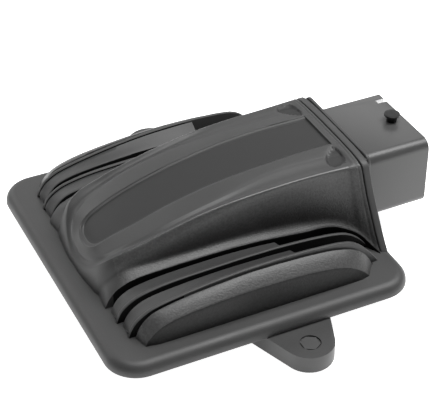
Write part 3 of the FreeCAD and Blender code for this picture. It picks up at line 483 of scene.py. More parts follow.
class EffectGroup(Graph):
    """A shader node group with named sockets, built once and shared."""

    def __init__(self, name: str, inputs: dict[str, float], outputs: tuple[str, ...]) -> None:
        """Start a group that takes a place in space and some numbers.

        Args:
            name: The group's name.
            inputs: The number inputs, with their defaults.
            outputs: The number outputs.
        """
        super().__init__(bpy.data.node_groups.new(name, "ShaderNodeTree"))
        sockets = self.tree.interface
        sockets.new_socket(name="Place", in_out="INPUT", socket_type="NodeSocketVector")
        for label, default in inputs.items():
            socket = sockets.new_socket(name=label, in_out="INPUT", socket_type="NodeSocketFloat")
            socket.default_value = default
        for label in outputs:
            sockets.new_socket(name=label, in_out="OUTPUT", socket_type="NodeSocketFloat")
        self.given = self.node("NodeGroupInput").outputs
        self.target = self.node("NodeGroupOutput")

    def noise(self, scale: Socket, detail: float, roughness: float) -> Socket:
        """Soft noise over the place.

        Args:
            scale: How closely it changes.
            detail: How many finer layers it has.
            roughness: How strong the finer layers are.

        Returns:
            The noise's socket.
        """
        inputs = {"Vector": self.given["Place"], "Scale": scale, "Detail": detail, "Roughness": roughness}
        return self.node("ShaderNodeTexNoise", inputs).outputs["Fac"]

    def give(self, name: str, value: Socket) -> None:
        """Join a socket to one of the group's outputs."""
        self.tree.links.new(value, self.target.inputs[name])


def moulded_grain_group() -> bpy.types.NodeTree:
    """The spark-eroded grain of a moulded surface: fine pits and soft lumps.

    Returns:
        The group, with outputs Height and Speckle.
    """
    group = EffectGroup("moulded_grain", {"Pit size mm": 0.4, "Lump share": 0.5}, ("Height", "Speckle"))
    pitch = group.maths("DIVIDE", 1000.0, group.given["Pit size mm"])
    pits = group.node(
        "ShaderNodeTexVoronoi", {"Vector": group.given["Place"], "Scale": pitch, "Smoothness": 0.6},
        feature="SMOOTH_F1",
    )
    lumps = group.noise(group.maths("MULTIPLY", pitch, 0.55), 4.0, 0.62)
    share = group.maths("MULTIPLY", lumps, group.given["Lump share"])
    group.give("Height", group.maths("ADD", pits.outputs["Distance"], share))
    group.give("Speckle", group.noise(group.maths("MULTIPLY", pitch, 0.8), 2.0, 0.5))
    return group.tree


def handling_wear_group() -> bpy.types.NodeTree:
    """Slow changes over a surface from handling, and scuffs on raised edges.

    Returns:
        The group, with outputs Cloud, Scuff and Edge.
    """
    inputs = {"Cloud size mm": 30.0, "Edge gain": 12.0}
    group = EffectGroup("handling_wear", inputs, ("Cloud", "Scuff", "Edge"))
    pitch = group.maths("DIVIDE", 1000.0, group.given["Cloud size mm"])
    cloud = group.noise(pitch, 3.0, 0.5)
    group.give("Cloud", cloud)
    scuff = group.noise(group.maths("MULTIPLY", pitch, 6.0), 8.0, 0.72)
    patches = group.node("ShaderNodeMapRange", {"Value": scuff, "From Min": 0.56, "From Max": 0.72})
    group.give("Scuff", patches.outputs["Result"])
    shape = group.node("ShaderNodeNewGeometry")
    raised = group.maths("SUBTRACT", shape.outputs["Pointiness"], 0.5)
    gained = group.maths("MULTIPLY", raised, group.given["Edge gain"])
    broken = group.maths("MULTIPLY", gained, group.maths("ADD", cloud, 0.4))
    group.give("Edge", group.node("ShaderNodeClamp", {"Value": broken}).outputs["Result"])
    return group.tree


@dataclass(frozen=True)
class MouldedPlastic:
    """Black moulded plastic: fine grain, cloudy gloss and rubbed edges."""

    name: str
    colour: Colour
    lighter: Colour
    edge_colour: Colour
    roughness: float = 0.5
    roughness_swing: float = 0.10
    pit_size: float = 0.45
    grain: float = 0.25
    grain_depth_mm: float = 0.05
    speckle: float = 0.35
    edge_gain: float = 10.0
    coat: float = 0.0
    coat_roughness: float = 0.25
    specular: float = 0.5

    def make(self, grain: bpy.types.NodeTree, wear: bpy.types.NodeTree) -> bpy.types.Material:
        """Build the material.

        Args:
            grain: The shared grain group.
            wear: The shared wear group.

        Returns:
            The material.
        """
        material = bpy.data.materials.new(self.name)
        graph = Graph.emptied(material)
        place = graph.node("ShaderNodeTexCoord").outputs["Object"]
        skin = graph.node("ShaderNodeGroup", {"Place": place, "Pit size mm": self.pit_size}, node_tree=grain)
        use = graph.node("ShaderNodeGroup", {"Place": place, "Edge gain": self.edge_gain}, node_tree=wear)
        speckle = graph.node("ShaderNodeMapRange", {
            "Value": skin.outputs["Speckle"],
            "From Min": NOISE_LOW, "From Max": NOISE_HIGH, "To Max": self.speckle,
        })
        tint = graph.mix(speckle.outputs["Result"], self.colour, self.lighter)
        gloss = graph.node("ShaderNodeMapRange", {
            "Value": use.outputs["Cloud"], "From Min": NOISE_LOW, "From Max": NOISE_HIGH,
            "To Min": self.roughness - self.roughness_swing, "To Max": self.roughness + self.roughness_swing,
        })
        bump = graph.node("ShaderNodeBump", {
            "Strength": self.grain, "Distance": self.grain_depth_mm * MM, "Height": skin.outputs["Height"],
        })
        shader = graph.node("ShaderNodeBsdfPrincipled", {
            "Base Color": graph.mix(use.outputs["Edge"], tint, self.edge_colour),
            "Roughness": gloss.outputs["Result"], "Normal": bump.outputs["Normal"],
            "Specular IOR Level": self.specular, "Coat Weight": self.coat,
            "Coat Roughness": self.coat_roughness,
        })
        graph.node("ShaderNodeOutputMaterial", {"Surface": shader.outputs["BSDF"]})
        return material


@dataclass(frozen=True)
class PlainMetal:
    """Plated or bare metal with brushed streaks and a little tarnish."""

    name: str
    colour: Colour
    tarnish: Colour
    roughness: float = 0.32
    streak_mm: float = 0.25
    streak_stretch: float = 0.12
    shine: float = 0.08
    dulling: float = 0.14
    cloud_mm: float = 6.0
    grain: float = 0.12
    grain_depth_mm: float = 0.02

    def make(self, grain: bpy.types.NodeTree, wear: bpy.types.NodeTree) -> bpy.types.Material:
        """Build the material.

        Args:
            grain: The shared grain group.
            wear: The shared wear group.

        Returns:
            The material.
        """
        material = bpy.data.materials.new(self.name)
        graph = Graph.emptied(material)
        place = graph.node("ShaderNodeTexCoord").outputs["Object"]
        stretch = graph.node("ShaderNodeMapping", {"Vector": place, "Scale": (self.streak_stretch, 1.0, 1.0)})
        streaks = {"Place": stretch.outputs["Vector"], "Pit size mm": self.streak_mm}
        skin = graph.node("ShaderNodeGroup", streaks, node_tree=grain)
        use = graph.node("ShaderNodeGroup", {"Place": place, "Cloud size mm": self.cloud_mm}, node_tree=wear)
        gloss = graph.node("ShaderNodeMapRange", {
            "Value": skin.outputs["Speckle"],
            "To Min": self.roughness - self.shine, "To Max": self.roughness + self.dulling,
        })
        bump = graph.node("ShaderNodeBump", {
            "Strength": self.grain, "Distance": self.grain_depth_mm * MM, "Height": skin.outputs["Height"],
        })
        shader = graph.node("ShaderNodeBsdfPrincipled", {
            "Metallic": 1.0, "Base Color": graph.mix(use.outputs["Scuff"], self.colour, self.tarnish),
            "Roughness": gloss.outputs["Result"], "Normal": bump.outputs["Normal"],
        })
        graph.node("ShaderNodeOutputMaterial", {"Surface": shader.outputs["BSDF"]})
        return material


class Finish(Enum):
    """Every finish of the unit, by the surface it belongs to."""

    SATIN = MouldedPlastic(
        "satin_cover", grey(0.034), grey(0.048), grey(0.060), roughness=0.50, roughness_swing=0.05,
        pit_size=0.35, grain=0.22, speckle=0.30, edge_gain=6.0,
    )
    # Darker than the satin: the sunk panel floor, and the pocket at the valley's end as painted shade.
    RECESS_SHADE = MouldedPlastic(
        "recess_floor_and_shade", grey(0.015), grey(0.023), grey(0.035), roughness=0.55, roughness_swing=0.04,
        pit_size=0.30, grain=0.15, speckle=0.25, edge_gain=2.0, specular=0.40,
    )
    # Near black: painted shade on the slots' floors and on the walls facing across them.
    SLOT_SHADE = MouldedPlastic(
        "slot_painted_shade", grey(0.004), grey(0.007), grey(0.01), roughness=0.75, pit_size=0.4, grain=0.2,
        edge_gain=0.0, specular=0.12,
    )
    # Lighter than the satin: a painted highlight along the lip's crest, with lower roughness for a glossier
    # edge.
    LIP_HIGHLIGHT = MouldedPlastic(
        "lip_painted_highlight", grey(0.10), grey(0.16), grey(0.20), roughness=0.34, roughness_swing=0.05,
        pit_size=0.3, grain=0.1, edge_gain=4.0,
    )
    # Near black, far darker than the connector around it: painted shade for the post's stem and the underside
    # of its head.
    POST = MouldedPlastic(
        "post_painted_shade", grey(0.008), grey(0.014), grey(0.03), roughness=0.45, pit_size=0.3, grain=0.15,
        edge_gain=8.0, specular=0.3,
    )
    # Darker copy of the coarse finish: painted shade on the pillow's outer face below the brow.
    SHADED = MouldedPlastic(
        "coarse_lower_face_painted_shade", grey(0.010), grey(0.024), grey(0.03), roughness=0.55, roughness_swing=0.04,
        pit_size=0.62, grain=0.50, grain_depth_mm=0.09, speckle=0.6, edge_gain=0.0, specular=0.30,
    )
    COARSE = MouldedPlastic(
        "coarse_side", grey(0.028), grey(0.060), grey(0.06), roughness=0.48, roughness_swing=0.04,
        pit_size=0.62, grain=0.60, grain_depth_mm=0.10, speckle=0.75, edge_gain=3.0, specular=0.62,
    )
    CONNECTOR = MouldedPlastic(
        "connector_smooth", grey(0.048), grey(0.060), grey(0.08), roughness=0.38, roughness_swing=0.05,
        pit_size=0.30, grain=0.12, speckle=0.25, edge_gain=5.0,
    )
    BASE = MouldedPlastic(
        "base_matt", grey(0.034), grey(0.044), grey(0.06), roughness=0.44, roughness_swing=0.06,
        pit_size=0.40, grain=0.25, speckle=0.35, edge_gain=5.0,
    )
    # Pale faces in the keyway: painted light standing in for the brightness seen in the notch.
    KEYWAY_PALE = MouldedPlastic(
        "keyway_painted_light", grey(0.80), grey(0.86), grey(0.9), roughness=0.5, pit_size=0.3, grain=0.08,
        edge_gain=0.0,
    )
    RUBBER = MouldedPlastic(
        "seal_rubber", grey(0.012), grey(0.020), grey(0.03), roughness=0.72, pit_size=0.3, grain=0.2,
        edge_gain=0.0,
    )
    EPOXY = MouldedPlastic(
        "chip_epoxy", grey(0.018), grey(0.030), grey(0.05), roughness=0.5, pit_size=0.15, grain=0.2,
        edge_gain=3.0,
    )
    LAMINATE = MouldedPlastic(
        "board_mask", (0.010, 0.085, 0.030), (0.016, 0.13, 0.045), (0.05, 0.2, 0.09), roughness=0.28,
        pit_size=0.6, grain=0.15, edge_gain=1.0, coat=0.3,
    )
    FERRITE = MouldedPlastic(
        "core_ferrite", (0.16, 0.15, 0.045), (0.22, 0.20, 0.06), grey(0.15), roughness=0.55, pit_size=0.5,
        grain=0.3,
    )
    SLEEVE = MouldedPlastic(
        "capacitor_sleeve", (0.012, 0.016, 0.05), (0.018, 0.022, 0.065), grey(0.1), roughness=0.3,
        pit_size=0.8, grain=0.08,
    )
    SILICONE = MouldedPlastic(
        "thermal_silicone", (0.30, 0.33, 0.36), (0.38, 0.41, 0.44), grey(0.4), roughness=0.7, pit_size=0.4,
        grain=0.2,
    )
    CERAMIC = MouldedPlastic(
        "chip_ceramic", (0.30, 0.20, 0.12), (0.40, 0.28, 0.17), grey(0.5), roughness=0.4, pit_size=0.2,
        grain=0.1,
    )
    TIN = PlainMetal("terminal_tin", (0.66, 0.64, 0.60), (0.42, 0.38, 0.31), roughness=0.30)
    STEEL = PlainMetal("screw_zinc", (0.52, 0.53, 0.55), (0.30, 0.29, 0.27), roughness=0.34)
    ALUMINIUM = PlainMetal("spreader_aluminium", (0.72, 0.73, 0.75), (0.52, 0.52, 0.53), roughness=0.38)
    COPPER = PlainMetal("winding_copper", (0.72, 0.29, 0.13), (0.38, 0.12, 0.05), roughness=0.30)
    MANGANIN = PlainMetal("shunt_alloy", (0.55, 0.42, 0.33), (0.32, 0.24, 0.20), roughness=0.36)


class Dresser:
    """Makes each finish once and puts it on pieces."""

    def __init__(self) -> None:
        """Build the shared groups."""
        self.grain = moulded_grain_group()
        self.wear = handling_wear_group()
        self.made: dict[str, bpy.types.Material] = {}

    def get(self, finish: Finish) -> bpy.types.Material:
        """The material for a finish, made at first use."""
        if finish.name not in self.made:
            self.made[finish.name] = finish.value.make(self.grain, self.wear)
        return self.made[finish.name]

    def dress(self, piece: bpy.types.Object, *finishes: Finish) -> bpy.types.Object:
        """Give an object its finishes as material slots.

        Args:
            piece: The object.
            *finishes: One finish for each slot.

        Returns:
            The same object.
        """
        piece.data.materials.clear()
        for finish in finishes:
            piece.data.materials.append(self.get(finish))
        return piece

    def redress(self, node: bpy.types.Object, finish: Finish) -> None:
        """Change the material in every slot of a carried-over node."""
        if not node.material_slots:
            node.data.materials.append(self.get(finish))
        for slot in node.material_slots:
            slot.material = self.get(finish)


# =============================================================================
# Curves that the cover follows
# =============================================================================
def ramp(value: Array | float, start: float, stop: float) -> Array | float:
    """A smooth step from 0 at start to 1 at stop."""
    share = np.clip((np.asarray(value, float) - start) / (stop - start), 0.0, 1.0)
    return share * share * (3.0 - 2.0 * share)


def soft_max(first: Array, second: Array, radius: float) -> Array:
    """The larger of two values, with the corner between them filleted.

    Args:
        first: One set of values.
        second: The other.
        radius: How far from the corner the fillet reaches.

    Returns:
        The blended values.
    """
    gap = np.clip(radius - np.abs(first - second), 0.0, None) / radius
    return np.maximum(first, second) + 0.25 * radius * gap * gap


class Curve:
    """A smooth line y(x) through a few points, without overshoot."""

    def __init__(self, *points: tuple[float, float]) -> None:
        """Fit the line.

        Args:
            *points: The points, in order of x.
        """
        self.x = np.array([p[0] for p in points], float)
        self.y = np.array([p[1] for p in points], float)
        step = np.diff(self.x)
        slope = np.diff(self.y) / step
        tangent = np.zeros(len(points))
        tangent[0], tangent[-1] = slope[0], slope[-1]
        for k in range(1, len(points) - 1):
            if slope[k - 1] * slope[k] > 0.0:
                w1, w2 = 2.0 * step[k] + step[k - 1], step[k] + 2.0 * step[k - 1]
                tangent[k] = (w1 + w2) / (w1 / slope[k - 1] + w2 / slope[k])
        self.tangent = tangent

    def __call__(self, x: Array | float) -> Array | float:
        """The line's height at x."""
        at = np.clip(np.asarray(x, float), self.x[0], self.x[-1])
        k = np.clip(np.searchsorted(self.x, at, side="right") - 1, 0, len(self.x) - 2)
        width = self.x[k + 1] - self.x[k]
        t = (at - self.x[k]) / width
        a, b = self.y[k], self.y[k + 1]
        ta, tb = self.tangent[k] * width, self.tangent[k + 1] * width
        start = (2 * t**3 - 3 * t**2 + 1) * a + (t**3 - 2 * t**2 + t) * ta
        return start + (3 * t**2 - 2 * t**3) * b + (t**3 - t**2) * tb


RAIL_POINTS = 1600


@dataclass(frozen=True)
class Rail:
    """A line over the dome, from the middle of the nose back to the header."""

    points: tuple[Point, ...]

    def dense(self) -> Array:
        """The rail as many points, smooth through its own.

        Returns:
            An array of points.
        """
        given = np.array(self.points, float)
        before = given[1] * np.array([1.0, -1.0, 1.0])
        after = 2.0 * given[-1] - given[-2]
        chain = np.vstack([before, given, after])
        knots = np.concatenate([[0.0], np.cumsum(np.sqrt(np.linalg.norm(np.diff(chain, axis=0), axis=1)))])
        out = []
        for t in np.linspace(knots[1], knots[-2], RAIL_POINTS):
            k = min(max(int(np.searchsorted(knots, t, side="right")) - 1, 1), len(chain) - 3)
            a, b, c, d = chain[k - 1], chain[k], chain[k + 1], chain[k + 2]
            ka, kb, kc, kd = knots[k - 1], knots[k], knots[k + 1], knots[k + 2]
            ab = (kb - t) / (kb - ka) * a + (t - ka) / (kb - ka) * b
            bc = (kc - t) / (kc - kb) * b + (t - kb) / (kc - kb) * c
            cd = (kd - t) / (kd - kc) * c + (t - kc) / (kd - kc) * d
            abc = (kc - t) / (kc - ka) * ab + (t - ka) / (kc - ka) * bc
            bcd = (kd - t) / (kd - kb) * bc + (t - kb) / (kd - kb) * cd
            out.append((kc - t) / (kc - kb) * abc + (t - kb) / (kc - kb) * bcd)
        return np.array(out)

    def stations(self, pivot_x: float, angles: Array, along: Array) -> Array:
        """The rail's points where the cover's stations cross it.

        Args:
            pivot_x: Where the nose's rays start, on the middle line.
            angles: The rays' angles from straight ahead, in radians.
            along: The X of each station behind the pivot.

        Returns:
            One point for each ray and then for each X.
        """
        line = self.dense()
        turn = np.arctan2(line[:, 1], pivot_x - line[:, 0])
        order = np.argsort(turn)
        fan = np.stack([np.interp(angles, turn[order], line[order, c]) for c in range(3)], axis=1)
        rear = np.stack([np.interp(along, line[:, 0], line[:, c]) for c in range(3)], axis=1)
        rear[:, 0] = along
        return np.vstack([fan, rear])


# =============================================================================
# The cover
# =============================================================================
@dataclass
class CoverPlan:
    """The cover's main sizes, in millimetres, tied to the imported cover."""

    low: Point = field(default_factory=lambda: tuple(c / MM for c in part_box("top_cover")[0]))
    high: Point = field(default_factory=lambda: tuple(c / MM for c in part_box("top_cover")[1]))
    skirt_thick: float = 4.9
    corner_radius: float = 12.5
    top_round: float = 4.2
    foot_round: float = 0.4
    rear_gap: float = 5.2

    @property
    def middle_x(self) -> float:
        """The skirt's middle."""
        return 0.5 * (self.low[0] + self.high[0])

    @property
    def half_x(self) -> float:
        """Half the skirt's length."""
        return 0.5 * (self.high[0] - self.low[0])

    @property
    def half_y(self) -> float:
        """Half the skirt's width."""
        return 0.5 * (self.high[1] - self.low[1])

    @property
    def foot_z(self) -> float:
        """The skirt's underside."""
        return self.low[2]

    @property
    def deck_z(self) -> float:
        """The skirt's flat top."""
        return self.low[2] + self.skirt_thick

    @property
    def lift(self) -> float:
        """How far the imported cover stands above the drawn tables."""
        return self.deck_z - DRAWN_DECK_Z

    @property
    def rear_x(self) -> float:
        """Where the dome meets the header's seal."""
        return self.middle_x + self.half_x - self.rear_gap


HEADER_OUTLINE = Curve(
    (9.4, 45.0), (11.1, 43.9), (12.6, 42.7), (16.5, 39.8), (20.5, 37.2), (24.5, 34.7), (28.3, 32.3),
    (33.0, 29.9), (36.0, 28.5), (38.6, 27.3), (39.8, 26.4), (40.6, 25.2), (41.0, 23.5),
)
HEADER_CROWN = Curve(
    (0.0, 41.98), (8.0, 41.93), (16.0, 41.75), (21.0, 41.4), (24.0, 40.9), (25.5, 40.4), (30.0, 38.0),
)


# The dome's material slots, in order.
DOME_FINISHES = (Finish.SATIN, Finish.RECESS_SHADE, Finish.COARSE, Finish.SLOT_SHADE, Finish.LIP_HIGHLIGHT)


@dataclass
class Dome:
    """The raised middle of the cover, from panel to ledge, as one net."""

    plan: CoverPlan
    pivot_x: float = -38.0
    panel_depth: float = 0.85
    valley_depth: float = 0.9
    pocket_depth: float = 1.0
    rim_groove: float = 0.14
    crest_out: float = 0.36
    crest_drop: float = 0.14
    shelf_slope: float = 1.9
    corner_out: float = 0.5
    corner_drop: float = 0.7
    ledge_edge_y: float = 28.9
    ledge_start_x: float = -51.9
    ledge_fillet: float = 1.2
    apron: float = 0.7
    rear_edge_y: float = 45.0
    flare_from: float = 28.0
    nose_end_x: float = -47.6
    nose_slope: float = 1.9
    land_crown: float = 0.35
    panel_end_x: float = 51.05
    rim_x: tuple[float, float, float, float] = (53.6, 53.8, 54.1, 54.3)
    # Where the ledge face with painted shade, the coarse wall and the two strips of lip with a painted
    # highlight start.
    ledge_shade_from: float = -48.0
    coarse_from: float = -44.0
    lip_highlight_from: tuple[float, float] = (-12.0, 2.0)
    lip_highlight_to: float = 50.2
    floor_inset: float = 1.45
    # Inside the panel's edge: how far in, and what share of its depth.
    panel_step: tuple[tuple[float, float], ...] = (
        (1.28, 0.88), (1.18, 0.62), (1.06, 0.55), (0.42, 0.50), (0.28, 0.40), (0.14, 0.06),
    )
    centre: Curve = field(default_factory=lambda: Curve(
        (-48.2, 19.6), (-47.9, 20.2), (-47.0, 21.4), (-46.0, 22.5), (-44.0, 24.15), (-42.0, 25.45),
        (-40.0, 26.5), (-37.0, 27.8), (-34.0, 28.9), (-31.0, 29.95), (-28.0, 31.0), (-24.0, 32.4),
        (-20.0, 33.65), (-16.0, 34.8), (-8.0, 36.8), (0.0, 38.4), (8.0, 39.7), (16.0, 40.65), (24.0, 41.3),
        (32.0, 41.75), (40.0, 41.95), (56.0, 41.98),
    ))
    lip: Rail = Rail((
        (-50.95, 0.0, 14.0), (-50.85, 4.2, 14.3), (-50.4, 8.0, 15.4), (-49.8, 11.3, 17.0),
        (-48.7, 14.5, 19.4), (-47.4, 17.0, 21.9), (-45.6, 19.1, 24.3), (-43.6, 20.4, 25.9),
        (-40.0, 21.4, 27.8), (-36.0, 21.8, 29.2), (-32.0, 22.05, 30.4), (-28.0, 22.3, 31.7),
        (-20.0, 22.6, 33.9), (-12.0, 22.8, 35.9), (-4.0, 23.1, 37.4), (4.0, 23.5, 38.6), (12.0, 23.8, 39.4),
        (20.0, 24.0, 39.95), (28.0, 24.1, 40.3), (36.0, 24.25, 40.45), (44.0, 24.5, 40.5),
        (52.0, 24.8, 40.5), (55.3, 24.9, 40.5),
    ))
    land: Rail = Rail((
        (-49.6, 0.0, 16.8), (-49.4, 3.6, 17.1), (-48.9, 7.2, 18.2), (-48.0, 10.2, 19.9),
        (-46.6, 12.4, 21.6), (-45.0, 13.9, 23.1), (-42.0, 15.5, 24.95), (-39.0, 16.5, 26.6),
        (-36.0, 17.2, 27.9), (-30.0, 18.3, 30.2), (-24.0, 18.8, 32.4), (-16.0, 19.0, 34.6),
        (-8.0, 18.9, 36.4), (0.0, 18.6, 37.9), (8.0, 17.8, 39.1), (16.0, 16.8, 40.2), (24.0, 16.1, 40.9),
        (32.0, 16.1, 41.2), (40.0, 16.5, 41.2), (48.0, 16.8, 41.3), (55.3, 17.0, 41.5),
    ))
    panel: Rail = Rail((
        (-47.9, 0.0, 20.2), (-47.7, 2.8, 20.5), (-47.0, 5.3, 21.4), (-45.8, 7.2, 22.7), (-44.0, 8.3, 24.15),
        (-41.0, 9.1, 26.0), (-37.0, 9.7, 27.8), (-34.0, 10.1, 28.9), (-28.0, 10.5, 31.0),
        (-20.0, 10.6, 33.65), (-8.0, 10.8, 36.8), (0.0, 10.9, 38.4), (8.0, 11.1, 39.7), (16.0, 11.3, 40.65),
        (24.0, 11.4, 41.3), (32.0, 11.3, 41.75), (44.0, 11.1, 41.95), (55.3, 11.1, 41.98),
    ))
    foot: Rail = Rail((
        (-52.04, 0.0, 11.1), (-52.0, 6.6, 11.1), (-51.3, 13.7, 11.1), (-50.7, 18.6, 11.1),
        (-49.9, 20.9, 11.1), (-48.5, 22.7, 11.1), (-46.0, 24.4, 11.1), (-42.0, 25.5, 11.1),
        (-38.0, 25.8, 11.1), (-30.0, 25.9, 11.1), (-10.0, 25.9, 11.1), (20.0, 25.8, 11.1),
        (38.0, 25.9, 11.1), (50.0, 26.7, 11.1), (55.3, 27.6, 11.1),
    ))
    ledge_y: Curve = field(default_factory=lambda: Curve(
        (-52.0, 28.9), (34.5, 28.9), (39.3, 29.5), (43.0, 30.7), (47.0, 32.9), (49.6, 35.0), (51.4, 37.0),
        (53.0, 39.6), (55.3, 43.9),
    ))
    ledge_z: Curve = field(default_factory=lambda: Curve(
        (-52.0, 8.0), (-50.8, 11.1), (-49.4, 14.1), (-47.8, 16.2), (-45.9, 18.0), (-44.0, 19.0),
        (-40.5, 20.3), (-36.0, 21.0), (-28.0, 21.3), (-20.0, 21.5), (-4.0, 21.6), (10.6, 21.0),
        (24.0, 19.6), (34.5, 18.6), (39.3, 18.7), (43.0, 18.5), (47.0, 17.5), (49.6, 16.6), (51.4, 15.4),
        (53.0, 13.6), (55.3, 11.2),
    ))
    shoulder_share: Curve = field(default_factory=lambda: Curve(
        (-60.0, 0.30), (-50.0, 0.34), (-46.0, 0.52), (-40.0, 0.66), (-20.0, 0.68), (-4.0, 0.58),
        (12.0, 0.40), (28.0, 0.25), (56.0, 0.17),
    ))
    shoulder_fall: Curve = field(default_factory=lambda: Curve(
        (-60.0, 0.22), (-46.0, 0.18), (-38.0, 0.14), (-20.0, 0.13), (-4.0, 0.10), (12.0, 0.06),
        (28.0, 0.028), (56.0, 0.024),
    ))
    pocket_corners: tuple[tuple[float, float], ...] = (
        (50.7, 11.7), (52.0, 13.8), (52.2, 18.8), (51.2, 21.6), (48.9, 22.8), (45.4, 23.0), (44.2, 20.4),
        (45.0, 17.3), (46.9, 14.9),
    )

    def angles(self) -> Array:
        """The nose's rays, closer together near the ledge's end."""
        front = np.linspace(0.0, 54.0, 16, endpoint=False)
        side = np.linspace(54.0, 90.0, 32, endpoint=False)
        return np.radians(np.concatenate([front, side]))

    def along(self) -> Array:
        """The stations behind the nose, closer together at the rear."""
        front = np.arange(self.pivot_x, 42.0, 1.25)
        rear = np.concatenate([
            np.arange(42.0, 50.9, 0.45),
            [51.0, 51.15, 51.3, 51.6, 52.0, 52.4, 52.8, 53.2, 53.6, 53.8, 54.1, 54.3, 54.95],
        ])
        return np.concatenate([front, rear, [self.plan.rear_x]])

    def pocket(self, x: Array, y: Array) -> Array:
        """How far a place lies inside the pocket at the valley's end.

        Args:
            x: Places along the unit.
            y: Places across it.

        Returns:
            0 outside the pocket and 1 over its floor.
        """
        corners = np.array(self.pocket_corners)
        centre = corners.mean(axis=0)
        inside = np.full(np.shape(x), 1e9)
        for a, b in zip(corners, np.roll(corners, -1, axis=0)):
            run = b - a
            normal = np.array([run[1], -run[0]]) / np.linalg.norm(run)
            if np.dot(normal, centre - a) < 0.0:
                normal = -normal
            inside = np.minimum(inside, (x - a[0]) * normal[0] + (y - a[1]) * normal[1])
        return ramp(inside, -0.1, 0.6)

    def sink(self, points: Array, depth: Array) -> Array:
        """Move points square to the dome's long profile.

        Args:
            points: The points to move.
            depth: How far in, one number for each point.

        Returns:
            The moved points.
        """
        slope = (self.centre(points[:, 0] + 0.2) - self.centre(points[:, 0] - 0.2)) / 0.4
        steep = np.where(points[:, 0] < self.nose_end_x, self.nose_slope, slope)
        length = np.sqrt(1.0 + steep * steep)
        moved = points.copy()
        moved[:, 0] += depth * steep / length
        moved[:, 2] -= depth / length
        return moved

    def top_columns(self) -> tuple[list[Array], list[str]]:
        """The columns from the middle line out to the lip.

        Returns:
            The columns of points, and the name of the surface inside each.
        """
        rays, along = self.angles(), self.along()
        lip = self.lip.stations(self.pivot_x, rays, along)
        land = self.land.stations(self.pivot_x, rays, along)
        edge = self.panel.stations(self.pivot_x, rays, along)
        pivot = np.tile(np.array([self.pivot_x, 0.0, 0.0]), (len(rays), 1))
        middle = np.vstack([pivot, np.stack([along, 0 * along, 0 * along], axis=1)])
        sides = lip[:, 0]
        rear = 1.0 - ramp(edge[:, 0], self.panel_end_x, self.panel_end_x + 0.2)
        columns: list[Array] = []

        def inside_panel(share: float, inset: float, depth: float) -> Array:
            """A column inside the panel's edge, sunk square to the top."""
            toward = middle[:, :2] - edge[:, :2]
            reach = np.linalg.norm(toward, axis=1, keepdims=True)
            plan_xy = edge[:, :2] + toward / np.maximum(reach, 1e-6) * inset
            plan_xy = plan_xy + (middle[:, :2] - plan_xy) * share
            points = np.column_stack([plan_xy, self.centre(plan_xy[:, 0])])
            return self.sink(points, depth * rear)

        floor = self.panel_depth
        for share in (1.0, 0.85, 0.7, 0.5, 0.3, 0.12, 0.0):
            columns.append(inside_panel(share, self.floor_inset, floor))
        names = ["floor"] * (len(columns) + 1) + ["step"] * len(self.panel_step)
        for inset, part in self.panel_step:
            columns.append(inside_panel(0.0, inset, part * floor))
        columns.append(edge)
        panel_count = len(columns)
        for share in (0.06, 0.2, 0.4, 0.6, 0.8, 0.94):
            crown = self.land_crown * share * (1.0 - share) * ramp(sides, -30.0, 10.0)
            column = edge + (land - edge) * share
            column[:, 2] += crown
            columns.append(column)
            names.append("land")
        columns.append(self.sink(land, 0.04 + 0.0 * sides))
        names.append("land")
        shift = 0.3 * ramp(sides, -20.0, 25.0)
        depth = self.valley_depth * (0.55 + 0.45 * ramp(sides, -46.0, -30.0))
        depth = depth * (1.0 - 0.40 * ramp(sides, 0.0, 20.0))
        depth = depth * (1.0 - 0.9 * ramp(sides, 40.0, 50.0))
        for share in (0.06, 0.16, 0.3, 0.45, 0.6, 0.74, 0.84, 0.91, 0.95, 0.98):
            early = math.sin(math.pi * share) ** 1.3
            late = float(ramp(share, 0.1, 0.70)) ** 1.2 * (1.0 - float(ramp(share, 0.72, 1.0)))
            shape = early * (1.0 - shift) + late * shift
            columns.append(self.sink(land + (lip - land) * share, depth * shape))
            names.append("valley")
        for column in columns[panel_count:]:
            column[:, 2] -= self.pocket_depth * self.pocket(column[:, 0], column[:, 1])
            crown_z = np.maximum(HEADER_CROWN(column[:, 1]), lip[:, 2])
            column[:, 2] += (crown_z - column[:, 2]) * ramp(column[:, 0], 51.9, 53.3)
        columns.append(lip)
        names.append("lip")
        return columns, names

    def nose_wall(self, lip: Array, foot: Array, z: Array) -> Array:
        """How far out the plain wall stands, as a share from lip to foot.

        Args:
            lip: The lip's points.
            foot: The foot's points.
            z: Heights, one for each point.

        Returns:
            0 at the lip and 1 at the foot.
        """
        down = np.clip((lip[:, 2] - z) / (lip[:, 2] - foot[:, 2]), 0.0, 1.3)
        share, fall = self.shoulder_share(lip[:, 0]), self.shoulder_fall(lip[:, 0])
        quick = share * (1.0 - np.exp(-down / fall))
        rest = 1.0 - share * (1.0 - np.exp(-1.0 / fall))
        gap = np.linalg.norm(foot[:, :2] - lip[:, :2], axis=1)
        corner = ramp(lip[:, 0], 50.0, 52.0)
        crest_out = self.crest_out + self.corner_out * corner
        crest_drop = self.crest_drop + self.corner_drop * corner
        crest = crest_out / gap * (1.0 - np.exp(-np.maximum(lip[:, 2] - z, 0.0) / crest_drop))
        return quick + rest * down + crest * ramp(lip[:, 0], -50.0, -30.0)

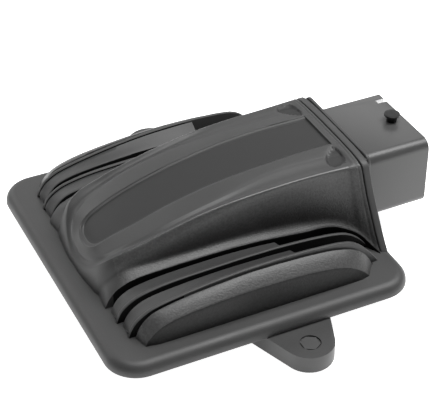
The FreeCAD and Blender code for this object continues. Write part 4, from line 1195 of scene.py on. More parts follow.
    def ledge_reach(self, angle: Array, z: Array) -> Array:
        """How far out along each ray the ledge's end stands at a height.

        Args:
            angle: The rays' angles.
            z: Heights, one for each ray.

        Returns:
            Distances from the pivot; small where the ledge is not met.
        """
        limit = self.ledge_edge_y / np.maximum(np.sin(angle), 1e-3)
        best = np.zeros_like(angle)
        turned = ramp(angle, math.radians(66.0), math.radians(90.0))
        rise, skew = 3.2 + 60.0 * turned**3, 0.22 * (1.0 - turned)
        for reach in np.linspace(8.0, 36.0, 561):
            x = self.pivot_x - reach * np.cos(angle)
            y = reach * np.sin(angle)
            inward = np.maximum(self.ledge_edge_y - y, 0.0)
            level_x = x - skew * inward
            top = self.ledge_z(level_x) + rise * (1.0 - np.exp(-inward / (rise * self.shelf_slope)))
            met = (z <= top) & (reach <= limit) & (level_x > self.ledge_start_x)
            best = np.where(met, reach, best)
        return best

    def outer_columns(self) -> tuple[list[Array], list[str]]:
        """The columns from the lip down the wall and over the ledge.

        Returns:
            The columns of points, and the name of the surface inside each.
        """
        rays, along = self.angles(), self.along()
        count = len(rays)
        lip = self.lip.stations(self.pivot_x, rays, along)
        foot = self.foot.stations(self.pivot_x, rays, along)
        front, back = lip[:count], lip[count:]
        front_foot, back_foot = foot[:count], foot[count:]
        front_reach = np.linalg.norm(front[:, :2] - [self.pivot_x, 0.0], axis=1)
        foot_reach = np.linalg.norm(front_foot[:, :2] - [self.pivot_x, 0.0], axis=1)
        edge_x = self.pivot_x - self.ledge_edge_y / np.tan(np.maximum(rays, 0.2))
        front_edge_z = np.where(rays > 1.0, np.maximum(self.ledge_z(edge_x), DRAWN_DECK_Z), DRAWN_DECK_Z)
        x_back = back[:, 0]
        edge_z = np.maximum(self.ledge_z(x_back), DRAWN_DECK_Z)
        edge_y = self.ledge_y(x_back)
        flare = np.clip((x_back - self.flare_from) / (self.plan.rear_x - self.flare_from), 0.0, 1.0) ** 2.3

        def back_column(z: Array) -> Array:
            """Side-wall points at one height for each station."""
            plain = back[:, 1] + (back_foot[:, 1] - back[:, 1]) * self.nose_wall(back, back_foot, z)
            end = np.tile(back[-1], (len(z), 1))
            end_foot = np.tile(back_foot[-1], (len(z), 1))
            plain_rear = end[:, 1] + (end_foot[:, 1] - end[:, 1]) * self.nose_wall(end, end_foot, z)
            plain = plain + (np.maximum(HEADER_OUTLINE(z), plain_rear) - plain_rear) * flare
            shelf = edge_y - np.maximum(z - edge_z, 0.0) * self.shelf_slope
            y = soft_max(plain, shelf, self.ledge_fillet * (1.0 + ramp(x_back, 0.0, 25.0)))
            return np.column_stack([x_back, np.minimum(y, self.rear_edge_y), z])

        def front_column(z: Array) -> Array:
            """Nose-wall points at one height for each ray."""
            plain = front_reach + (foot_reach - front_reach) * self.nose_wall(front, front_foot, z)
            reach = soft_max(plain, self.ledge_reach(rays, z), self.ledge_fillet)
            edge = self.ledge_edge_y / np.sin(np.maximum(rays, 0.2))
            reach = np.where(rays > 1.15, np.minimum(reach, edge), reach)
            return np.column_stack([self.pivot_x - reach * np.cos(rays), reach * np.sin(rays), z])

        columns: list[Array] = []
        names: list[str] = []
        fractions = np.concatenate([
            [0.004, 0.012, 0.028, 0.045, 0.065, 0.09, 0.12, 0.155, 0.195, 0.24, 0.30, 0.36, 0.42, 0.48],
            [0.54, 0.60, 0.65, 0.70, 0.74, 0.78, 0.82, 0.855, 0.89, 0.92, 0.95, 0.975, 1.0],
        ])
        for share in fractions:
            rear_part = back_column(back[:, 2] + (edge_z - back[:, 2]) * share)
            front_part = front_column(front[:, 2] + (front_edge_z - front[:, 2]) * share)
            columns.append(np.vstack([front_part, rear_part]))
            names.append("shoulder" if share < 0.2 else ("wall" if share < 0.8 else "fillet"))
        for drop in (0.25, 0.8, 3.0, 30.0):
            last = columns[len(fractions) - 1].copy()
            last[:, 2] = np.maximum(last[:, 2] - drop, DRAWN_DECK_Z - self.apron)
            out = 0.12 * min(drop / 0.25, 1.0)
            last[count:, 1] = np.minimum(last[count:, 1] + out, self.rear_edge_y + 0.1)
            columns.append(last)
            names.append("ledge_face")
        return columns, names

    def cut_rim(self, net: Array, inner: int) -> None:
        """Press the shallow groove in front of the cover's rear rim.

        Args:
            net: The whole net, changed in place.
            inner: How many columns lie inside the lip.
        """
        x = net[:, 0, 0]
        front, floor_start, floor_stop, back = self.rim_x
        groove = ramp(x, front, floor_start) * (1.0 - ramp(x, floor_stop, back))
        depth = self.rim_groove * (groove + 0.7 * ramp(x, 54.9, 55.2))
        turning = np.linspace(0.8, 0.1, 6)
        rest = net.shape[1] - inner - len(turning)
        upright = np.concatenate([np.ones(inner), turning, np.zeros(rest)])
        net[:, :, 2] -= depth[:, None] * upright[None, :]
        net[:, :, 1] -= depth[:, None] * (1.0 - upright[None, :])

    def build(self, dresser: Dresser) -> bpy.types.Object:
        """Make the dome.

        Args:
            dresser: Gives the finishes.

        Returns:
            The dome's object.
        """
        top, top_names = self.top_columns()
        outer, outer_names = self.outer_columns()
        net = np.stack(top + outer, axis=1)
        names = top_names + outer_names
        self.cut_rim(net, len(top))
        net[:, :, 1] = np.maximum(net[:, :, 1], 0.0)
        net[0, :, 1] = 0.0
        net[:, :, 2] += self.plan.lift
        piece = Workshop.skin("cover_dome", net)
        dresser.dress(piece, *DOME_FINISHES)
        self.mark(piece, net, names)
        Workshop.mirror_y(piece)
        self.close(piece)
        Workshop.smooth(piece, 48.0)
        return piece

    def mark(self, piece: bpy.types.Object, net: Array, names: list[str]) -> None:
        """Give each face the slot of the surface it belongs to.

        Args:
            piece: The half dome, straight from its grid.
            net: The net it was laid over.
            names: The surface inside each column.
        """
        cols = net.shape[1]
        lip_col = names.index("lip")
        slots = []
        for number in range(len(piece.data.polygons)):
            row, col = divmod(number, cols - 1)
            name = names[min(col + 1, cols - 1)]
            x, y = float(net[row, col, 0]), float(net[row, col, 1])
            strip = col - lip_col
            finish = Finish.SATIN
            # The sunk floor is darker; the pocket and the ledge face into the first slot take painted shade,
            # and two strips along the lip take a painted highlight.
            if name == "floor" and x < self.panel_end_x - 0.05:
                finish = Finish.RECESS_SHADE
            elif name == "ledge_face" and x > self.ledge_shade_from and y > 25.0:
                finish = Finish.SLOT_SHADE
            elif strip in (0, 1) and self.lip_highlight_from[strip] < x < self.lip_highlight_to:
                finish = Finish.LIP_HIGHLIGHT
            elif name in ("shoulder", "wall", "fillet") and x > self.coarse_from and y > 20.0:
                finish = Finish.COARSE
            elif name in ("valley", "land") and self.pocket(np.array([x]), np.array([y]))[0] > 0.45:
                finish = Finish.RECESS_SHADE
            slots.append(DOME_FINISHES.index(finish))
        piece.data.polygons.foreach_set("material_index", slots)

    def close(self, piece: bpy.types.Object) -> None:
        """Close the dome's rear end and its underside."""
        rear = self.plan.rear_x
        Workshop.tidy(piece)
        Workshop.select(piece, Pick.VERTS, lambda a, b: abs(a.x - rear) < 0.02)
        bpy.ops.mesh.edge_face_add()
        Workshop.done()
        Workshop.close_loops(piece)
        Workshop.face_outwards(piece)


@dataclass
class Skirt:
    """The flat flange of the cover, a block with round corners and edges."""

    plan: CoverPlan

    def build(self, dresser: Dresser) -> bpy.types.Object:
        """Make the skirt.

        Args:
            dresser: Gives the finishes.

        Returns:
            The skirt's object.
        """
        plan = self.plan
        low = (plan.middle_x - plan.half_x, -plan.half_y, plan.foot_z)
        high = (plan.middle_x + plan.half_x, plan.half_y, plan.deck_z)
        piece = Workshop.block("cover_skirt", low, high)
        upright = plan.skirt_thick * 0.9
        Workshop.bevel_edges(piece, plan.corner_radius, 16, lambda a, b: abs(a.z - b.z) > upright)
        Workshop.bevel_edges(piece, plan.top_round, 9, lambda a, b: min(a.z, b.z) > plan.deck_z - 0.01)
        Workshop.bevel_edges(piece, plan.foot_round, 4, lambda a, b: max(a.z, b.z) < plan.foot_z + 0.01)
        Workshop.tidy(piece)
        dresser.dress(piece, Finish.SATIN)
        Workshop.smooth(piece, 50.0)
        return piece


# How much higher than the near wing the far one stands, along the unit.
FAR_RISE = Curve(
    (-50.0, 0.0), (-42.0, 0.0), (-30.0, 0.65), (-7.0, 1.8), (5.0, 2.3), (16.0, 2.7), (24.0, 2.9),
    (30.0, 3.0), (36.0, 2.9), (41.0, 2.0), (45.0, 0.8), (50.0, 0.0), (60.0, 0.0),
)


@dataclass
class Fin:
    """One upright fin of a wing: an arch seen from the side, swept across."""

    name: str
    inner_y: float
    outer_y: float
    inner_crest: Curve
    outer_crest: Curve
    ends: tuple[float, float]
    floor_z: float
    lift: float
    edge: float = 0.35
    dish: float = 0.0
    # The far bands' inner edges stand this much higher still.
    far_gap: float = 1.0
    # Behind these, the second rib's outer wall and the far ribs' inner walls are satin.
    grey_from: float = -28.0
    open_from: float = 15.0
    nose_reach: float = 9.0
    tail_reach: float = 14.0
    spacing: float = 1.6

    @property
    def is_band(self) -> bool:
        """Whether the fin is a broad band and not a narrow rib."""
        return self.outer_y - self.inner_y > 2.5

    def stations(self) -> Array:
        """X stations, closer together on the steep ends."""
        start, stop = self.ends
        nose = start + (1.0 - np.cos(np.linspace(0.0, 0.5 * math.pi, 16))) * self.nose_reach
        tail = stop - (1.0 - np.cos(np.linspace(0.5 * math.pi, 0.0, 18))) * self.tail_reach
        middle = np.arange(nose[-1] + 1.5, tail[0] - 0.5 * self.spacing, self.spacing)
        return np.concatenate([nose, middle, tail])

    def build(self, dresser: Dresser, side: int) -> bpy.types.Object:
        """Make the fin on one side.

        Args:
            dresser: Gives the finishes.
            side: -1 for the near wing and 1 for the far one.

        Returns:
            The fin's object.
        """
        x = self.stations()
        x = x[(x >= self.ends[0] - 1e-6) & (x <= self.ends[1] + 1e-6)]
        inner, outer = self.inner_crest(x), self.outer_crest(x)
        width = self.outer_y - self.inner_y
        edge = min(self.edge, 0.45 * width)

        def row(y: float, z: Array) -> Array:
            """A row of points along the fin, no lower than the slots' floor."""
            return np.column_stack([x, np.full_like(x, y), np.maximum(z, self.floor_z)])

        foot = np.full_like(x, self.floor_z)
        steps = [(0.0, edge), (0.3 * edge, 0.3 * edge), (edge, 0.0)]
        rows = [row(self.inner_y, foot)]
        rows += [row(self.inner_y + across, inner - drop) for across, drop in steps]
        for share in [0.25, 0.5, 0.75] if self.is_band else [0.5]:
            y = self.inner_y + edge + (width - 2 * edge) * share
            crown = inner + (outer - inner) * (y - self.inner_y) / width
            rows.append(row(y, crown - self.dish * math.sin(math.pi * share)))
        rows += [row(self.outer_y - across, outer - drop) for across, drop in reversed(steps)]
        rows.append(row(self.outer_y, foot))
        net = np.stack(rows, axis=1)
        if side > 0:
            above = net[:, :, 2] > self.floor_z + 0.01
            share = (0.25 + 0.75 * ramp(net[:, :, 1], 37.0, 46.0)) * above
            net[:, :, 2] += FAR_RISE(net[:, :, 0]) * share
            if self.is_band:
                above = net[:, :, 2] > self.floor_z + 0.01
                open_side = np.clip((self.outer_y - net[:, :, 1]) / width, 0.0, 1.0) * above
                net[:, :, 2] += self.far_gap * open_side * ramp(net[:, :, 0], -49.0, -42.0)
        net[:, :, 1] *= side
        net[:, :, 2] += self.lift
        piece = Workshop.skin(f"{self.name}_{'near' if side < 0 else 'far'}", net)
        Workshop.close_loops(piece)
        Workshop.tidy(piece)
        dresser.dress(piece, Finish.SATIN, Finish.SLOT_SHADE)
        for face in piece.data.polygons:
            outward = face.normal.y * side > 0.0
            x = face.center.x / MM
            satin = self.name == "rib_two" and outward and x > self.grey_from
            satin |= side > 0 and not self.is_band and not outward and x > self.open_from
            # Upright walls facing across the slots take the near-black slot finish as painted shade; the
            # satin walls are left out.
            if abs(face.normal.y) > 0.92 and not satin:
                face.material_index = 1
        Workshop.smooth(piece, 50.0)
        return piece


# A drop that takes any row down to the lowest height.
BURIED = 100.0


@dataclass
class Pillow:
    """The rounded outer swelling of a wing."""

    plan: CoverPlan
    inner_y: float = 48.3
    break_y: float = 53.9
    brow_blend: float = 0.05
    brow_raise: float = 0.75
    foot_y: float = 54.9
    columns: int = 96
    top_ends: tuple[float, float] = (-47.2, 49.3)
    brow_ends: tuple[float, float] = (-45.4, 45.6)
    foot_ends: tuple[float, float] = (-40.4, 42.0)
    top: Curve = field(default_factory=lambda: Curve(
        (-47.2, 10.6), (-46.6, 13.2), (-45.6, 15.6), (-44.0, 17.7), (-42.0, 19.4), (-40.0, 20.5),
        (-36.0, 21.6), (-30.0, 22.8), (-22.0, 23.8), (-14.0, 24.5), (0.0, 25.3), (8.0, 25.3), (13.0, 25.1),
        (20.0, 24.8), (30.0, 23.9), (36.0, 22.7), (40.0, 21.3), (43.0, 19.6), (45.5, 17.2), (47.5, 14.4),
        (49.3, 10.6),
    ))
    brow: Curve = field(default_factory=lambda: Curve(
        (-45.4, 10.6), (-44.4, 12.6), (-43.0, 14.0), (-41.0, 15.6), (-38.0, 17.1), (-33.0, 18.5),
        (-26.0, 19.5), (-14.0, 20.4), (0.0, 20.8), (12.0, 20.6), (22.0, 20.0), (30.0, 18.9), (35.0, 17.6),
        (39.0, 15.8), (42.5, 13.6), (45.6, 10.6),
    ))

    def build(self, dresser: Dresser, side: int) -> bpy.types.Object:
        """Make the pillow on one side.

        Args:
            dresser: Gives the finishes.
            side: -1 for the near wing and 1 for the far one.

        Returns:
            The pillow's object.
        """
        count = self.columns
        share = np.linspace(0.0, 1.0, count)
        bunched = 0.5 - 0.5 * np.cos(math.pi * share)
        along = 0.45 * share + 0.55 * bunched
        deck = DRAWN_DECK_Z - 0.6
        top_x, brow_x, foot_x = (
            start + along * (stop - start) for start, stop in (self.top_ends, self.brow_ends, self.foot_ends)
        )
        top = np.column_stack([top_x, np.full(count, self.inner_y), self.top(top_x)])
        brow_z = self.brow(brow_x)
        brow_z = brow_z + self.brow_raise * np.clip((brow_z - DRAWN_DECK_Z) / 6.0, 0.0, 1.0)
        brow = np.column_stack([brow_x - 0.4, np.full(count, self.break_y), brow_z])
        foot = np.column_stack([foot_x, np.full(count, self.foot_y), np.full(count, DRAWN_DECK_Z)])
        ends = ramp(share, 0.0, 0.16) * ramp(1.0 - share, 0.0, 0.16)

        def lowered(row: Array, drop: float) -> Array:
            """A row moved down, no lower than just under the deck."""
            moved = row.copy()
            moved[:, 2] = np.maximum(row[:, 2] - drop, deck)
            return moved

        def between(start: Array, stop: Array, step: float, axis: int, swell: float, skew: float) -> Array:
            """A row part of the way from one to another, swollen along an axis."""
            row = start + (stop - start) * step
            row[:, axis] += swell * math.sin(math.pi * step**skew) * ends
            return row

        crown = lowered(top, 0.12)
        crown[:, 1] += 0.25
        rows = [lowered(top, BURIED), lowered(top, 0.5), crown]
        rows += [between(top, brow, step, 2, 0.45, 0.9) for step in (0.12, 0.25, 0.4, 0.55, 0.7, 0.82, 0.92)]
        rows.append(brow)
        rows += [between(brow, foot, step, 1, 0.25, 0.8) for step in (0.12, 0.3, 0.5, 0.7, 0.86, 1.0)]
        rows.append(lowered(foot, BURIED))
        net = np.stack(rows, axis=1)
        if side > 0:
            share = np.clip((net[:, :, 2] - DRAWN_DECK_Z) / 9.0, 0.0, 1.0)
            net[:, :, 2] += FAR_RISE(net[:, :, 0]) * share
        net[:, :, 1] *= side
        net[:, :, 2] += self.plan.lift
        piece = Workshop.skin(f"pillow_{'near' if side < 0 else 'far'}", net)
        Workshop.close_loops(piece)
        Workshop.tidy(piece)
        dresser.dress(piece, Finish.COARSE, Finish.SHADED)
        # Faces below the brow take the darker copy, painted shade on the outer face.
        for face in piece.data.polygons:
            if abs(face.center.y) > (self.break_y + self.brow_blend) * MM:
                face.material_index = 1
        Workshop.smooth(piece, 62.0)
        return piece


@dataclass
class Wing:
    """One louvred wing: two bands, two ribs, three slot floors and the pillow."""

    plan: CoverPlan
    floor_z: float = 10.5
    louvre_end: float = 16.5
    band_drop: float = 0.75
    slots: tuple[tuple[float, float], ...] = ((28.7, 31.3), (38.2, 40.1), (47.2, 48.6))
    slot_ends: tuple[float, float] = (-48.9, 52.0)
    # Each slot outwards is shorter by this much at both ends.
    slot_step: float = 0.9
    slot_root: float = 0.5
    slot_rise: float = 0.12
    rib_one: Curve = field(default_factory=lambda: Curve(
        (-50.3, 10.6), (-49.6, 12.9), (-48.6, 15.1), (-46.8, 17.2), (-44.4, 18.9), (-41.5, 20.3),
        (-37.0, 21.4), (-31.0, 22.3), (-25.0, 22.8), (-16.0, 23.15), (-8.0, 23.4), (2.0, 23.65),
        (10.0, 23.65), (21.6, 23.2), (32.9, 22.3), (38.5, 21.5), (42.5, 20.5), (45.5, 19.0), (48.5, 16.7),
        (51.0, 13.9), (53.6, 10.6),
    ))
    rib_two: Curve = field(default_factory=lambda: Curve(
        (-49.4, 10.6), (-48.7, 13.0), (-47.6, 15.3), (-45.6, 17.7), (-43.2, 19.4), (-40.5, 20.8),
        (-35.0, 22.1), (-29.0, 23.1), (-21.0, 24.2), (-13.0, 25.1), (-5.0, 25.7), (2.0, 26.0),
        (10.0, 26.05), (18.0, 25.9), (26.0, 25.5), (33.0, 24.9), (38.0, 24.1), (41.0, 23.0), (44.0, 20.9),
        (47.0, 17.9), (50.0, 14.3), (52.6, 10.6),
    ))
    band_one_inner: Curve = field(default_factory=lambda: Curve(
        (-49.6, 10.6), (-48.6, 13.2), (-47.0, 15.6), (-44.6, 17.6), (-41.5, 19.0), (-36.0, 20.1),
        (-28.0, 20.9), (-18.0, 21.3), (-6.0, 21.5), (6.0, 21.2), (16.6, 20.4),
    ))
    band_two_inner: Curve = field(default_factory=lambda: Curve(
        (-48.7, 10.6), (-47.8, 13.2), (-46.4, 15.6), (-44.0, 17.9), (-41.0, 19.5), (-36.0, 20.8),
        (-28.0, 21.7), (-18.0, 22.4), (-6.0, 22.8), (8.0, 22.7), (18.6, 22.3),
    ))

    def lowered(self, crest: Curve, amount: float) -> Curve:
        """The same crest line, lower by an amount."""
        return Curve(*[(float(x), float(z) - amount) for x, z in zip(crest.x, crest.y)])

    def fins(self) -> list[Fin]:
        """The wing's fins, from the dome outwards."""
        floor, lift = self.floor_z, self.plan.lift
        one, two = self.rib_one, self.rib_two
        one_low, two_low = (self.lowered(rib, self.band_drop) for rib in (one, two))
        one_ends, two_ends = (-49.6, self.louvre_end), (-48.7, self.louvre_end + 1.9)
        return [
            Fin("band_one", 31.0, 37.1, self.band_one_inner, one_low, one_ends, floor, lift, dish=0.25),
            Fin("rib_one", 37.0, 38.4, one, one, (-50.3, 53.6), floor, lift),
            Fin("band_two", 39.9, 46.1, self.band_two_inner, two_low, two_ends, floor, lift, dish=0.3),
            Fin("rib_two", 46.0, 47.4, two, two, (-49.4, 52.6), floor, lift),
        ]

    def build(self, dresser: Dresser, side: int) -> list[bpy.types.Object]:
        """Make every piece of the wing.

        Args:
            dresser: Gives the finishes.
            side: -1 for the near wing and 1 for the far one.

        Returns:
            The wing's objects.
        """
        pieces = [fin.build(dresser, side) for fin in self.fins()]
        pieces.append(Pillow(self.plan).build(dresser, side))
        pieces.extend(self.slot_floors(dresser, side))
        return pieces

    def slot_floors(self, dresser: Dresser, side: int) -> list[bpy.types.Object]:
        """Make the near-black floors of the three slots, painted shade.

        Args:
            dresser: Gives the finishes.
            side: -1 for the near wing and 1 for the far one.

        Returns:
            The floors' objects.
        """
        floors = []
        deck = self.plan.deck_z
        start, stop = self.slot_ends
        for number, (inner, outer) in enumerate(self.slots, start=1):
            y_low, y_high = sorted((side * inner, side * outer))
            low = (start + self.slot_step * number, y_low, deck - self.slot_root)
            high = (stop - self.slot_step * number, y_high, deck + self.slot_rise)
            piece = Workshop.block(f"slot_floor_{number}_{'near' if side < 0 else 'far'}", low, high)
            dresser.dress(piece, Finish.SLOT_SHADE)
            floors.append(piece)
        return floors


# =============================================================================
# The header
# =============================================================================
@dataclass
class Header:
    """The connector moulding: flange, collar, shroud, keyway and posts."""

    low: Point = field(default_factory=lambda: tuple(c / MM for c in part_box("header_body")[0]))
    high: Point = field(default_factory=lambda: tuple(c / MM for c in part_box("header_body")[1]))
    seal_rear: float = field(default_factory=lambda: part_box("header_seal")[1][0] / MM)
    lift: float = 1.1
    flange_thick: float = 2.9
    notch: float = 0.4
    collar_thick: float = 1.35
    collar_half_y: float = 25.0
    collar_drop: float = 0.2
    collar_round: float = 3.4
    foot_z: float = 10.5
    shroud_half_y: float = 19.7
    shroud_low_z: float = 8.6
    shroud_drop: float = 5.1
    shroud_wall: float = 2.0
    shroud_round: float = 4.1
    far_round: float = 1.4
    shroud_deep: float = 24.1
    post_inset: float = 5.4
    post_radius: float = 2.1
    post_rise: float = 3.1
    post_head: float = 3.2
    post_cap: float = 0.75
    post_crown: float = 0.55
    post_root: float = 0.6
    key_inset: float = 5.7
    key_width: float = 2.3
    key_long: float = 3.9

    @property
    def collar_x(self) -> float:
        """Where the collar starts."""
        return self.seal_rear + self.flange_thick + self.notch

    @property
    def root_x(self) -> float:
        """Where the shroud leaves the collar."""
        return self.collar_x + self.collar_thick

    def outline(self) -> Array:
        """The flange's outline across the unit.

        Returns:
            Points of one half from the foot up, and of the other back down.
        """
        shoulder = [38.7, 39.4, 40.0, 40.5, 40.85]
        drawn = np.concatenate([[self.foot_z - self.lift], np.linspace(11.0, 38.0, 18), shoulder])
        half = [(float(HEADER_OUTLINE(z)), float(z)) for z in drawn]
        half += [(y, float(HEADER_CROWN(y))) for y in (22.5, 19.0, 15.0, 10.0, 5.0)]
        left = [(-y, z) for y, z in reversed(half)]
        points = np.array(half + [(0.0, float(HEADER_CROWN(0.0)))] + left)
        points[:, 1] += self.lift
        return points

    def plate(self, name: str, outline: Array, start: float, stop: float) -> bpy.types.Object:
        """A flat plate across the unit, from an outline.

        Args:
            name: The object's name.
            outline: The outline as rows of Y and Z.
            start: The near face's X.
            stop: The far face's X.

        Returns:
            The plate.
        """
        Workshop.clear()
        bpy.ops.mesh.primitive_circle_add(
            vertices=len(outline), radius=1.0, fill_type="NGON", location=(0, 0, 0),
        )
        piece = bpy.context.object
        piece.name = name
        flat = np.column_stack([np.full(len(outline), start), outline]) * MM
        piece.data.vertices.foreach_set("co", flat.astype(np.float32).ravel())
        piece.data.update()
        Workshop.select(piece, Pick.FACES, lambda centre, normal: True)
        bpy.ops.mesh.extrude_region_move(TRANSFORM_OT_translate={"value": ((stop - start) * MM, 0.0, 0.0)})
        Workshop.done()
        return Workshop.tidy(piece)

    def flange(self) -> bpy.types.Object:
        """The flange that seats on the cover, with softened rims."""
        start = self.seal_rear
        piece = self.plate("header_flange", self.outline(), start, start + self.flange_thick)
        return Workshop.soften(piece, 0.5, 50.0, 3)

    def neck(self) -> bpy.types.Object:
        """The narrow web between flange and collar."""
        half = self.collar_half_y - 1.0
        top = self.high[2] - 1.4
        low = (self.seal_rear + 1.0, -half, self.foot_z + 0.3)
        return Workshop.block("header_neck", low, (self.collar_x + 0.5, half, top))

    def collar(self) -> bpy.types.Object:
        """The straight-sided collar round the shroud's root."""
        top = self.high[2] - self.collar_drop
        low = (self.collar_x, -self.collar_half_y, self.foot_z)
        high = (self.root_x, self.collar_half_y, top)
        piece = Workshop.block("header_collar", low, high)
        middle = 0.5 * (self.foot_z + top)
        Workshop.bevel_edges(
            piece, self.collar_round, 8,
            lambda a, b: abs(a.x - b.x) > 0.5 * self.collar_thick and min(a.z, b.z) > middle,
        )
        return Workshop.soften(piece, 0.4, 50.0, 3)

    def shroud(self) -> bpy.types.Object:
        """The open box round the terminals, with its keyway."""
        top = self.high[2] - self.shroud_drop
        mouth = self.high[0]
        low = (self.root_x, -self.shroud_half_y, self.shroud_low_z)
        piece = Workshop.block("header_shroud", low, (mouth, self.shroud_half_y, top))
        span = mouth - self.root_x
        middle = 0.5 * (top + self.shroud_low_z)
        Workshop.bevel_edges(
            piece, self.shroud_round, 10,
            lambda a, b: abs(a.x - b.x) > 0.5 * span and not (a.y > 0.0 and a.z > middle),
        )
        far_y = 0.9 * self.shroud_half_y
        Workshop.bevel_edges(
            piece, self.far_round, 8,
            lambda a, b: abs(a.x - b.x) > 0.5 * span and a.y > far_y and a.z > top - 0.1,
        )
        Workshop.tidy(piece)
        Workshop.select(piece, Pick.FACES, lambda centre, normal: normal.x > 0.99 and centre.x > mouth - 0.1)
        bpy.ops.mesh.inset(thickness=self.shroud_wall * MM, depth=0.0)
        bpy.ops.mesh.extrude_region_move(TRANSFORM_OT_translate={"value": (-self.shroud_deep * MM, 0.0, 0.0)})
        Workshop.done()
        Workshop.tidy(piece)
        key_y = self.shroud_half_y - self.key_inset
        key = Workshop.block(
            "keyway_cutter",
            (mouth - self.key_long, key_y - 0.5 * self.key_width, top - self.shroud_wall - 1.0),
            (mouth + 2.0, key_y + 0.5 * self.key_width, top + 2.0),
        )
        Workshop.carve(piece, key)
        Workshop.tidy(piece)
        return Workshop.soften(piece, 0.35, 40.0, 3)

    def mark_keyway(self, piece: bpy.types.Object) -> None:
        """Paint the faces inside the keyway pale: painted light standing in for the brightness seen in the
        notch.

        Args:
            piece: The shroud, with a second material slot.
        """
        key_y = self.shroud_half_y - self.key_inset
        start = self.high[0] - self.key_long - 0.1
        floor = self.high[2] - self.shroud_drop - self.shroud_wall - 0.1
        for face in piece.data.polygons:
            x, y, z = (c / MM for c in face.center)
            if x > start and abs(y - key_y) < 0.5 * self.key_width + 0.1 and z > floor:
                face.material_index = 1

    def post(self, name: str, foot_z: float, way: int) -> bpy.types.Object:
        """A mushroom post for the plug's lever.

        Args:
            name: The object's name.
            foot_z: The face it stands on.
            way: 1 for up and -1 for down.

        Returns:
            The post.
        """
        x = self.high[0] - self.post_inset
        low, high = sorted((foot_z - way * self.post_root, foot_z + way * self.post_rise))
        piece = Workshop.drum(name, (x, 0.0, low), self.post_radius, high - low, 56)
        face = high if way > 0 else low
        Workshop.select(piece, Pick.FACES, lambda centre, normal: abs(centre.z - face) < 0.01)
        cap = way * self.post_cap

        def raise_face(rise: float) -> None:
            """Draw new walls up from the picked face, and keep its copy picked."""
            bpy.ops.mesh.extrude_region_move(TRANSFORM_OT_translate={"value": (0.0, 0.0, rise * MM)})

        def widen(grow: float, z: float) -> None:
            """Scale the picked face about the post's axis."""
            bpy.ops.transform.resize(value=(grow, grow, 1.0), center_override=(x * MM, 0.0, z * MM))

        bpy.ops.transform.translate(value=(0.0, 0.0, -cap * MM))
        raise_face(0.0)
        widen(self.post_head / self.post_radius, face - cap)
        raise_face(cap)
        raise_face(0.0)
        widen(self.post_crown, face)
        Workshop.done()
        Workshop.tidy(piece)
        return Workshop.soften(piece, 0.22, 40.0, 3)

    def build(self, dresser: Dresser) -> list[bpy.types.Object]:
        """Make the whole header.

        Args:
            dresser: Gives the finishes.

        Returns:
            The header's objects.
        """
        top = self.high[2] - self.shroud_drop
        satin = [self.flange(), self.neck(), self.collar()]
        shroud = self.shroud()
        posts = [
            self.post("lever_post_top", top, 1), self.post("lever_post_bottom", self.shroud_low_z, -1),
        ]
        for piece in satin:
            dresser.dress(piece, Finish.SATIN)
            Workshop.smooth(piece, 40.0)
        dresser.dress(shroud, Finish.CONNECTOR, Finish.KEYWAY_PALE)
        for post in posts:
            dresser.dress(post, Finish.POST)
        for piece in [shroud, *posts]:
            Workshop.smooth(piece, 35.0)
        self.mark_keyway(shroud)
        return [*satin, shroud, *posts]


# =============================================================================
# The base
# =============================================================================
@dataclass
class Base:
    """The base plate, its edges softened."""

    edge: float = 0.2

    def build(self, dresser: Dresser, node: bpy.types.Object) -> bpy.types.Object:
        """Make the base from a merged copy of its node.

        Args:
            dresser: Gives the finishes.
            node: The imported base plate.

        Returns:
            The base's object.
        """
        Workshop.only(node)
        bpy.ops.object.duplicate(linked=False)
        piece = bpy.context.object
        piece.name = "base_moulding"
        piece.parent = None
        for key in list(piece.keys()):
            del piece[key]
        Workshop.tidy(piece, 0.004)
        Workshop.only(piece)
        bpy.ops.object.mode_set(mode="EDIT")
        bpy.ops.mesh.select_all(action="SELECT")
        bpy.ops.mesh.dissolve_limited(angle_limit=math.radians(1.0))
        Workshop.done()
        Workshop.soften(piece, self.edge, 50.0, 2)
        dresser.dress(piece, Finish.BASE)
        Workshop.smooth(piece, 20.0)
        return piece


# =============================================================================
# Stage, light and camera
# =============================================================================
# Each lamp's name, direction, distance and two sides in metres, and power in watts.
LAMPS = (
    ("overhead", (0.35, -0.03, 0.94), 1.05, (0.55, 1.25), 17.0),
    ("left_strip", (-0.38, 0.73, 0.46), 1.2, (0.85, 0.35), 3.5),
    ("rear_strip", (0.30, 0.75, 0.45), 1.3, (1.2, 0.5), 3.0),
)


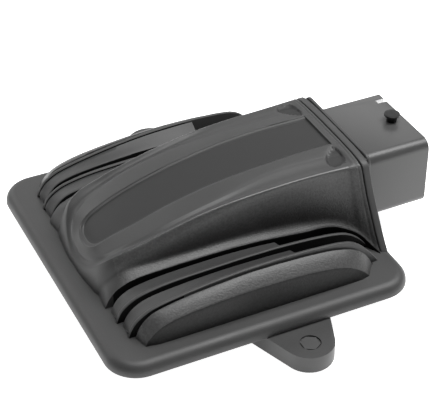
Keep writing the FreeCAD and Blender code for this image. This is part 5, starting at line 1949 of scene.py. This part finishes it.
@dataclass
class Studio:
    """A pale floor, soft lights and the camera."""

    camera_place: Point = (-186.5, -408.1, 354.8)
    azimuth: float = -25.488
    elevation: float = 36.268
    roll: float = -0.177
    focal: float = 120.577
    floor_size: float = 9.0
    floor_glow: float = 1.0
    floor_gap: float = 0.0002
    paper: float = 0.85
    sky: float = 0.10

    def floor(self) -> None:
        """The pale floor."""
        Workshop.clear()
        bpy.ops.mesh.primitive_plane_add(size=self.floor_size, location=(0, 0, CAD_LOW.z - self.floor_gap))
        floor = bpy.context.object
        floor.name = "studio_floor"
        material = bpy.data.materials.new("studio_paper")
        graph = Graph.emptied(material)
        paper = graph.node("ShaderNodeBsdfPrincipled", {
            "Base Color": (*grey(self.paper), 1.0), "Roughness": 1.0, "Specular IOR Level": 0.0,
            "Emission Color": (*WHITE, 1.0), "Emission Strength": self.floor_glow,
        })
        graph.node("ShaderNodeOutputMaterial", {"Surface": paper.outputs["BSDF"]})
        floor.data.materials.append(material)

    def world(self) -> None:
        """A white backdrop that gives only a little light."""
        world = bpy.data.worlds.new("studio_world")
        bpy.context.scene.world = world
        graph = Graph.emptied(world)
        seen = graph.node("ShaderNodeLightPath").outputs["Is Camera Ray"]
        level = graph.node("ShaderNodeMapRange", {"Value": seen, "To Min": self.sky, "To Max": 1.0})
        back = graph.node("ShaderNodeBackground", {
            "Color": (*WHITE, 1.0), "Strength": level.outputs["Result"],
        })
        graph.node("ShaderNodeOutputWorld", {"Surface": back.outputs["Background"]})

    def lamp(self, name: str, way: Point, far: float, size: tuple[float, float], power: float) -> None:
        """Hang a soft rectangular lamp that points at the unit.

        Args:
            name: The lamp's name.
            way: The direction from the unit to the lamp.
            far: How far away it hangs, in metres.
            size: Its two sides, in metres.
            power: Its power, in watts.
        """
        data = bpy.data.lights.new(name, "AREA")
        data.shape = "RECTANGLE"
        data.size, data.size_y = size
        data.energy = power
        lamp = bpy.data.objects.new(name, data)
        bpy.context.scene.collection.objects.link(lamp)
        toward = Vector(way).normalized()
        lamp.location = toward * far
        lamp.rotation_mode = "QUATERNION"
        lamp.rotation_quaternion = (-toward).to_track_quat("-Z", "Y")

    def camera(self) -> None:
        """Set the camera at its place and turn."""
        data = bpy.data.cameras.new("main_camera")
        data.lens = self.focal
        data.sensor_width = 36.0
        data.clip_start, data.clip_end = 0.01, 50.0
        camera = bpy.data.objects.new("main_camera", data)
        bpy.context.scene.collection.objects.link(camera)
        a, e, r = (math.radians(v) for v in (self.azimuth, self.elevation, self.roll))
        back = Vector((math.sin(a) * math.cos(e), -math.cos(a) * math.cos(e), math.sin(e)))
        right = Vector((0, 0, 1)).cross(back).normalized()
        up = back.cross(right)
        right_rolled = right * math.cos(r) + up * math.sin(r)
        up_rolled = up * math.cos(r) - right * math.sin(r)
        turn = Matrix((right_rolled, up_rolled, back)).transposed()
        camera.matrix_world = Matrix.Translation(Vector(self.camera_place) * MM) @ turn.to_4x4()
        bpy.context.scene.camera = camera

    def build(self) -> None:
        """Set the whole stage."""
        self.floor()
        self.world()
        for name, way, far, size, power in LAMPS:
            self.lamp(name, way, far, size, power)
        self.camera()
        view = bpy.context.scene.view_settings
        view.view_transform = "Standard"
        view.look = "None"
        view.exposure = 0.0
        view.gamma = 1.0


# =============================================================================
# The whole unit
# =============================================================================
CARRIED_FINISHES: dict[str, Finish] = {
    "ear_inserts": Finish.BASE,
    "cover_gasket": Finish.RUBBER,
    "cover_screws": Finish.STEEL,
    "header_seal": Finish.RUBBER,
    "power_blades": Finish.TIN,
    "signal_pins": Finish.TIN,
    "main_board": Finish.LAMINATE,
    "board_screws": Finish.STEEL,
    "heat_spreader": Finish.ALUMINIUM,
    "thermal_pad": Finish.SILICONE,
    "power_transistors": Finish.EPOXY,
    "bulk_capacitors": Finish.SLEEVE,
    "choke_core": Finish.FERRITE,
    "choke_winding": Finish.COPPER,
    "current_shunt": Finish.MANGANIN,
    "microcontroller": Finish.EPOXY,
    "driver_chips": Finish.EPOXY,
    "motion_sensor": Finish.EPOXY,
    "clock_crystal": Finish.STEEL,
    "clamp_diodes": Finish.EPOXY,
    "chip_capacitors": Finish.CERAMIC,
    "chip_resistors": Finish.EPOXY,
}


@dataclass
class BrakeController:
    """The whole unit: its new pieces and its carried-over nodes."""

    dresser: Dresser = field(default_factory=Dresser)

    def place(self, piece: bpy.types.Object, *nodes: str) -> None:
        """Ride a piece on the unit's one body and say what it stands for.

        Args:
            piece: The finished piece.
            *nodes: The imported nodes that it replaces.
        """
        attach(piece, "root")
        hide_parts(*nodes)
        faces = len(piece.data.polygons)
        LOG.info("%s: %d faces, stands for %s", piece.name, faces, ", ".join(nodes))

    def build(self) -> None:
        """Build every piece in order."""
        plan = CoverPlan()
        self.place(Dome(plan).build(self.dresser), "top_cover")
        self.place(Skirt(plan).build(self.dresser), "top_cover")
        wing = Wing(plan)
        for side in (-1, 1):
            for piece in wing.build(self.dresser, side):
                self.place(piece, "top_cover")
        for piece in Header().build(self.dresser):
            self.place(piece, "header_body")
        self.place(Base().build(self.dresser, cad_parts["base_plate"]), "base_plate")
        for name, finish in CARRIED_FINISHES.items():
            self.dresser.redress(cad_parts[name], finish)
            LOG.info("%s carried over with %s", name, finish.name)
        for name in ("top_cover", "header_body", "base_plate"):
            self.dresser.redress(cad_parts[name], Finish.SATIN)


def main() -> None:
    """Build the unit on its stage."""
    logging.basicConfig(level=logging.INFO, format="%(name)s %(message)s", force=True)
    BrakeController().build()
    Studio().build()


if __name__ == "__main__":
    main()
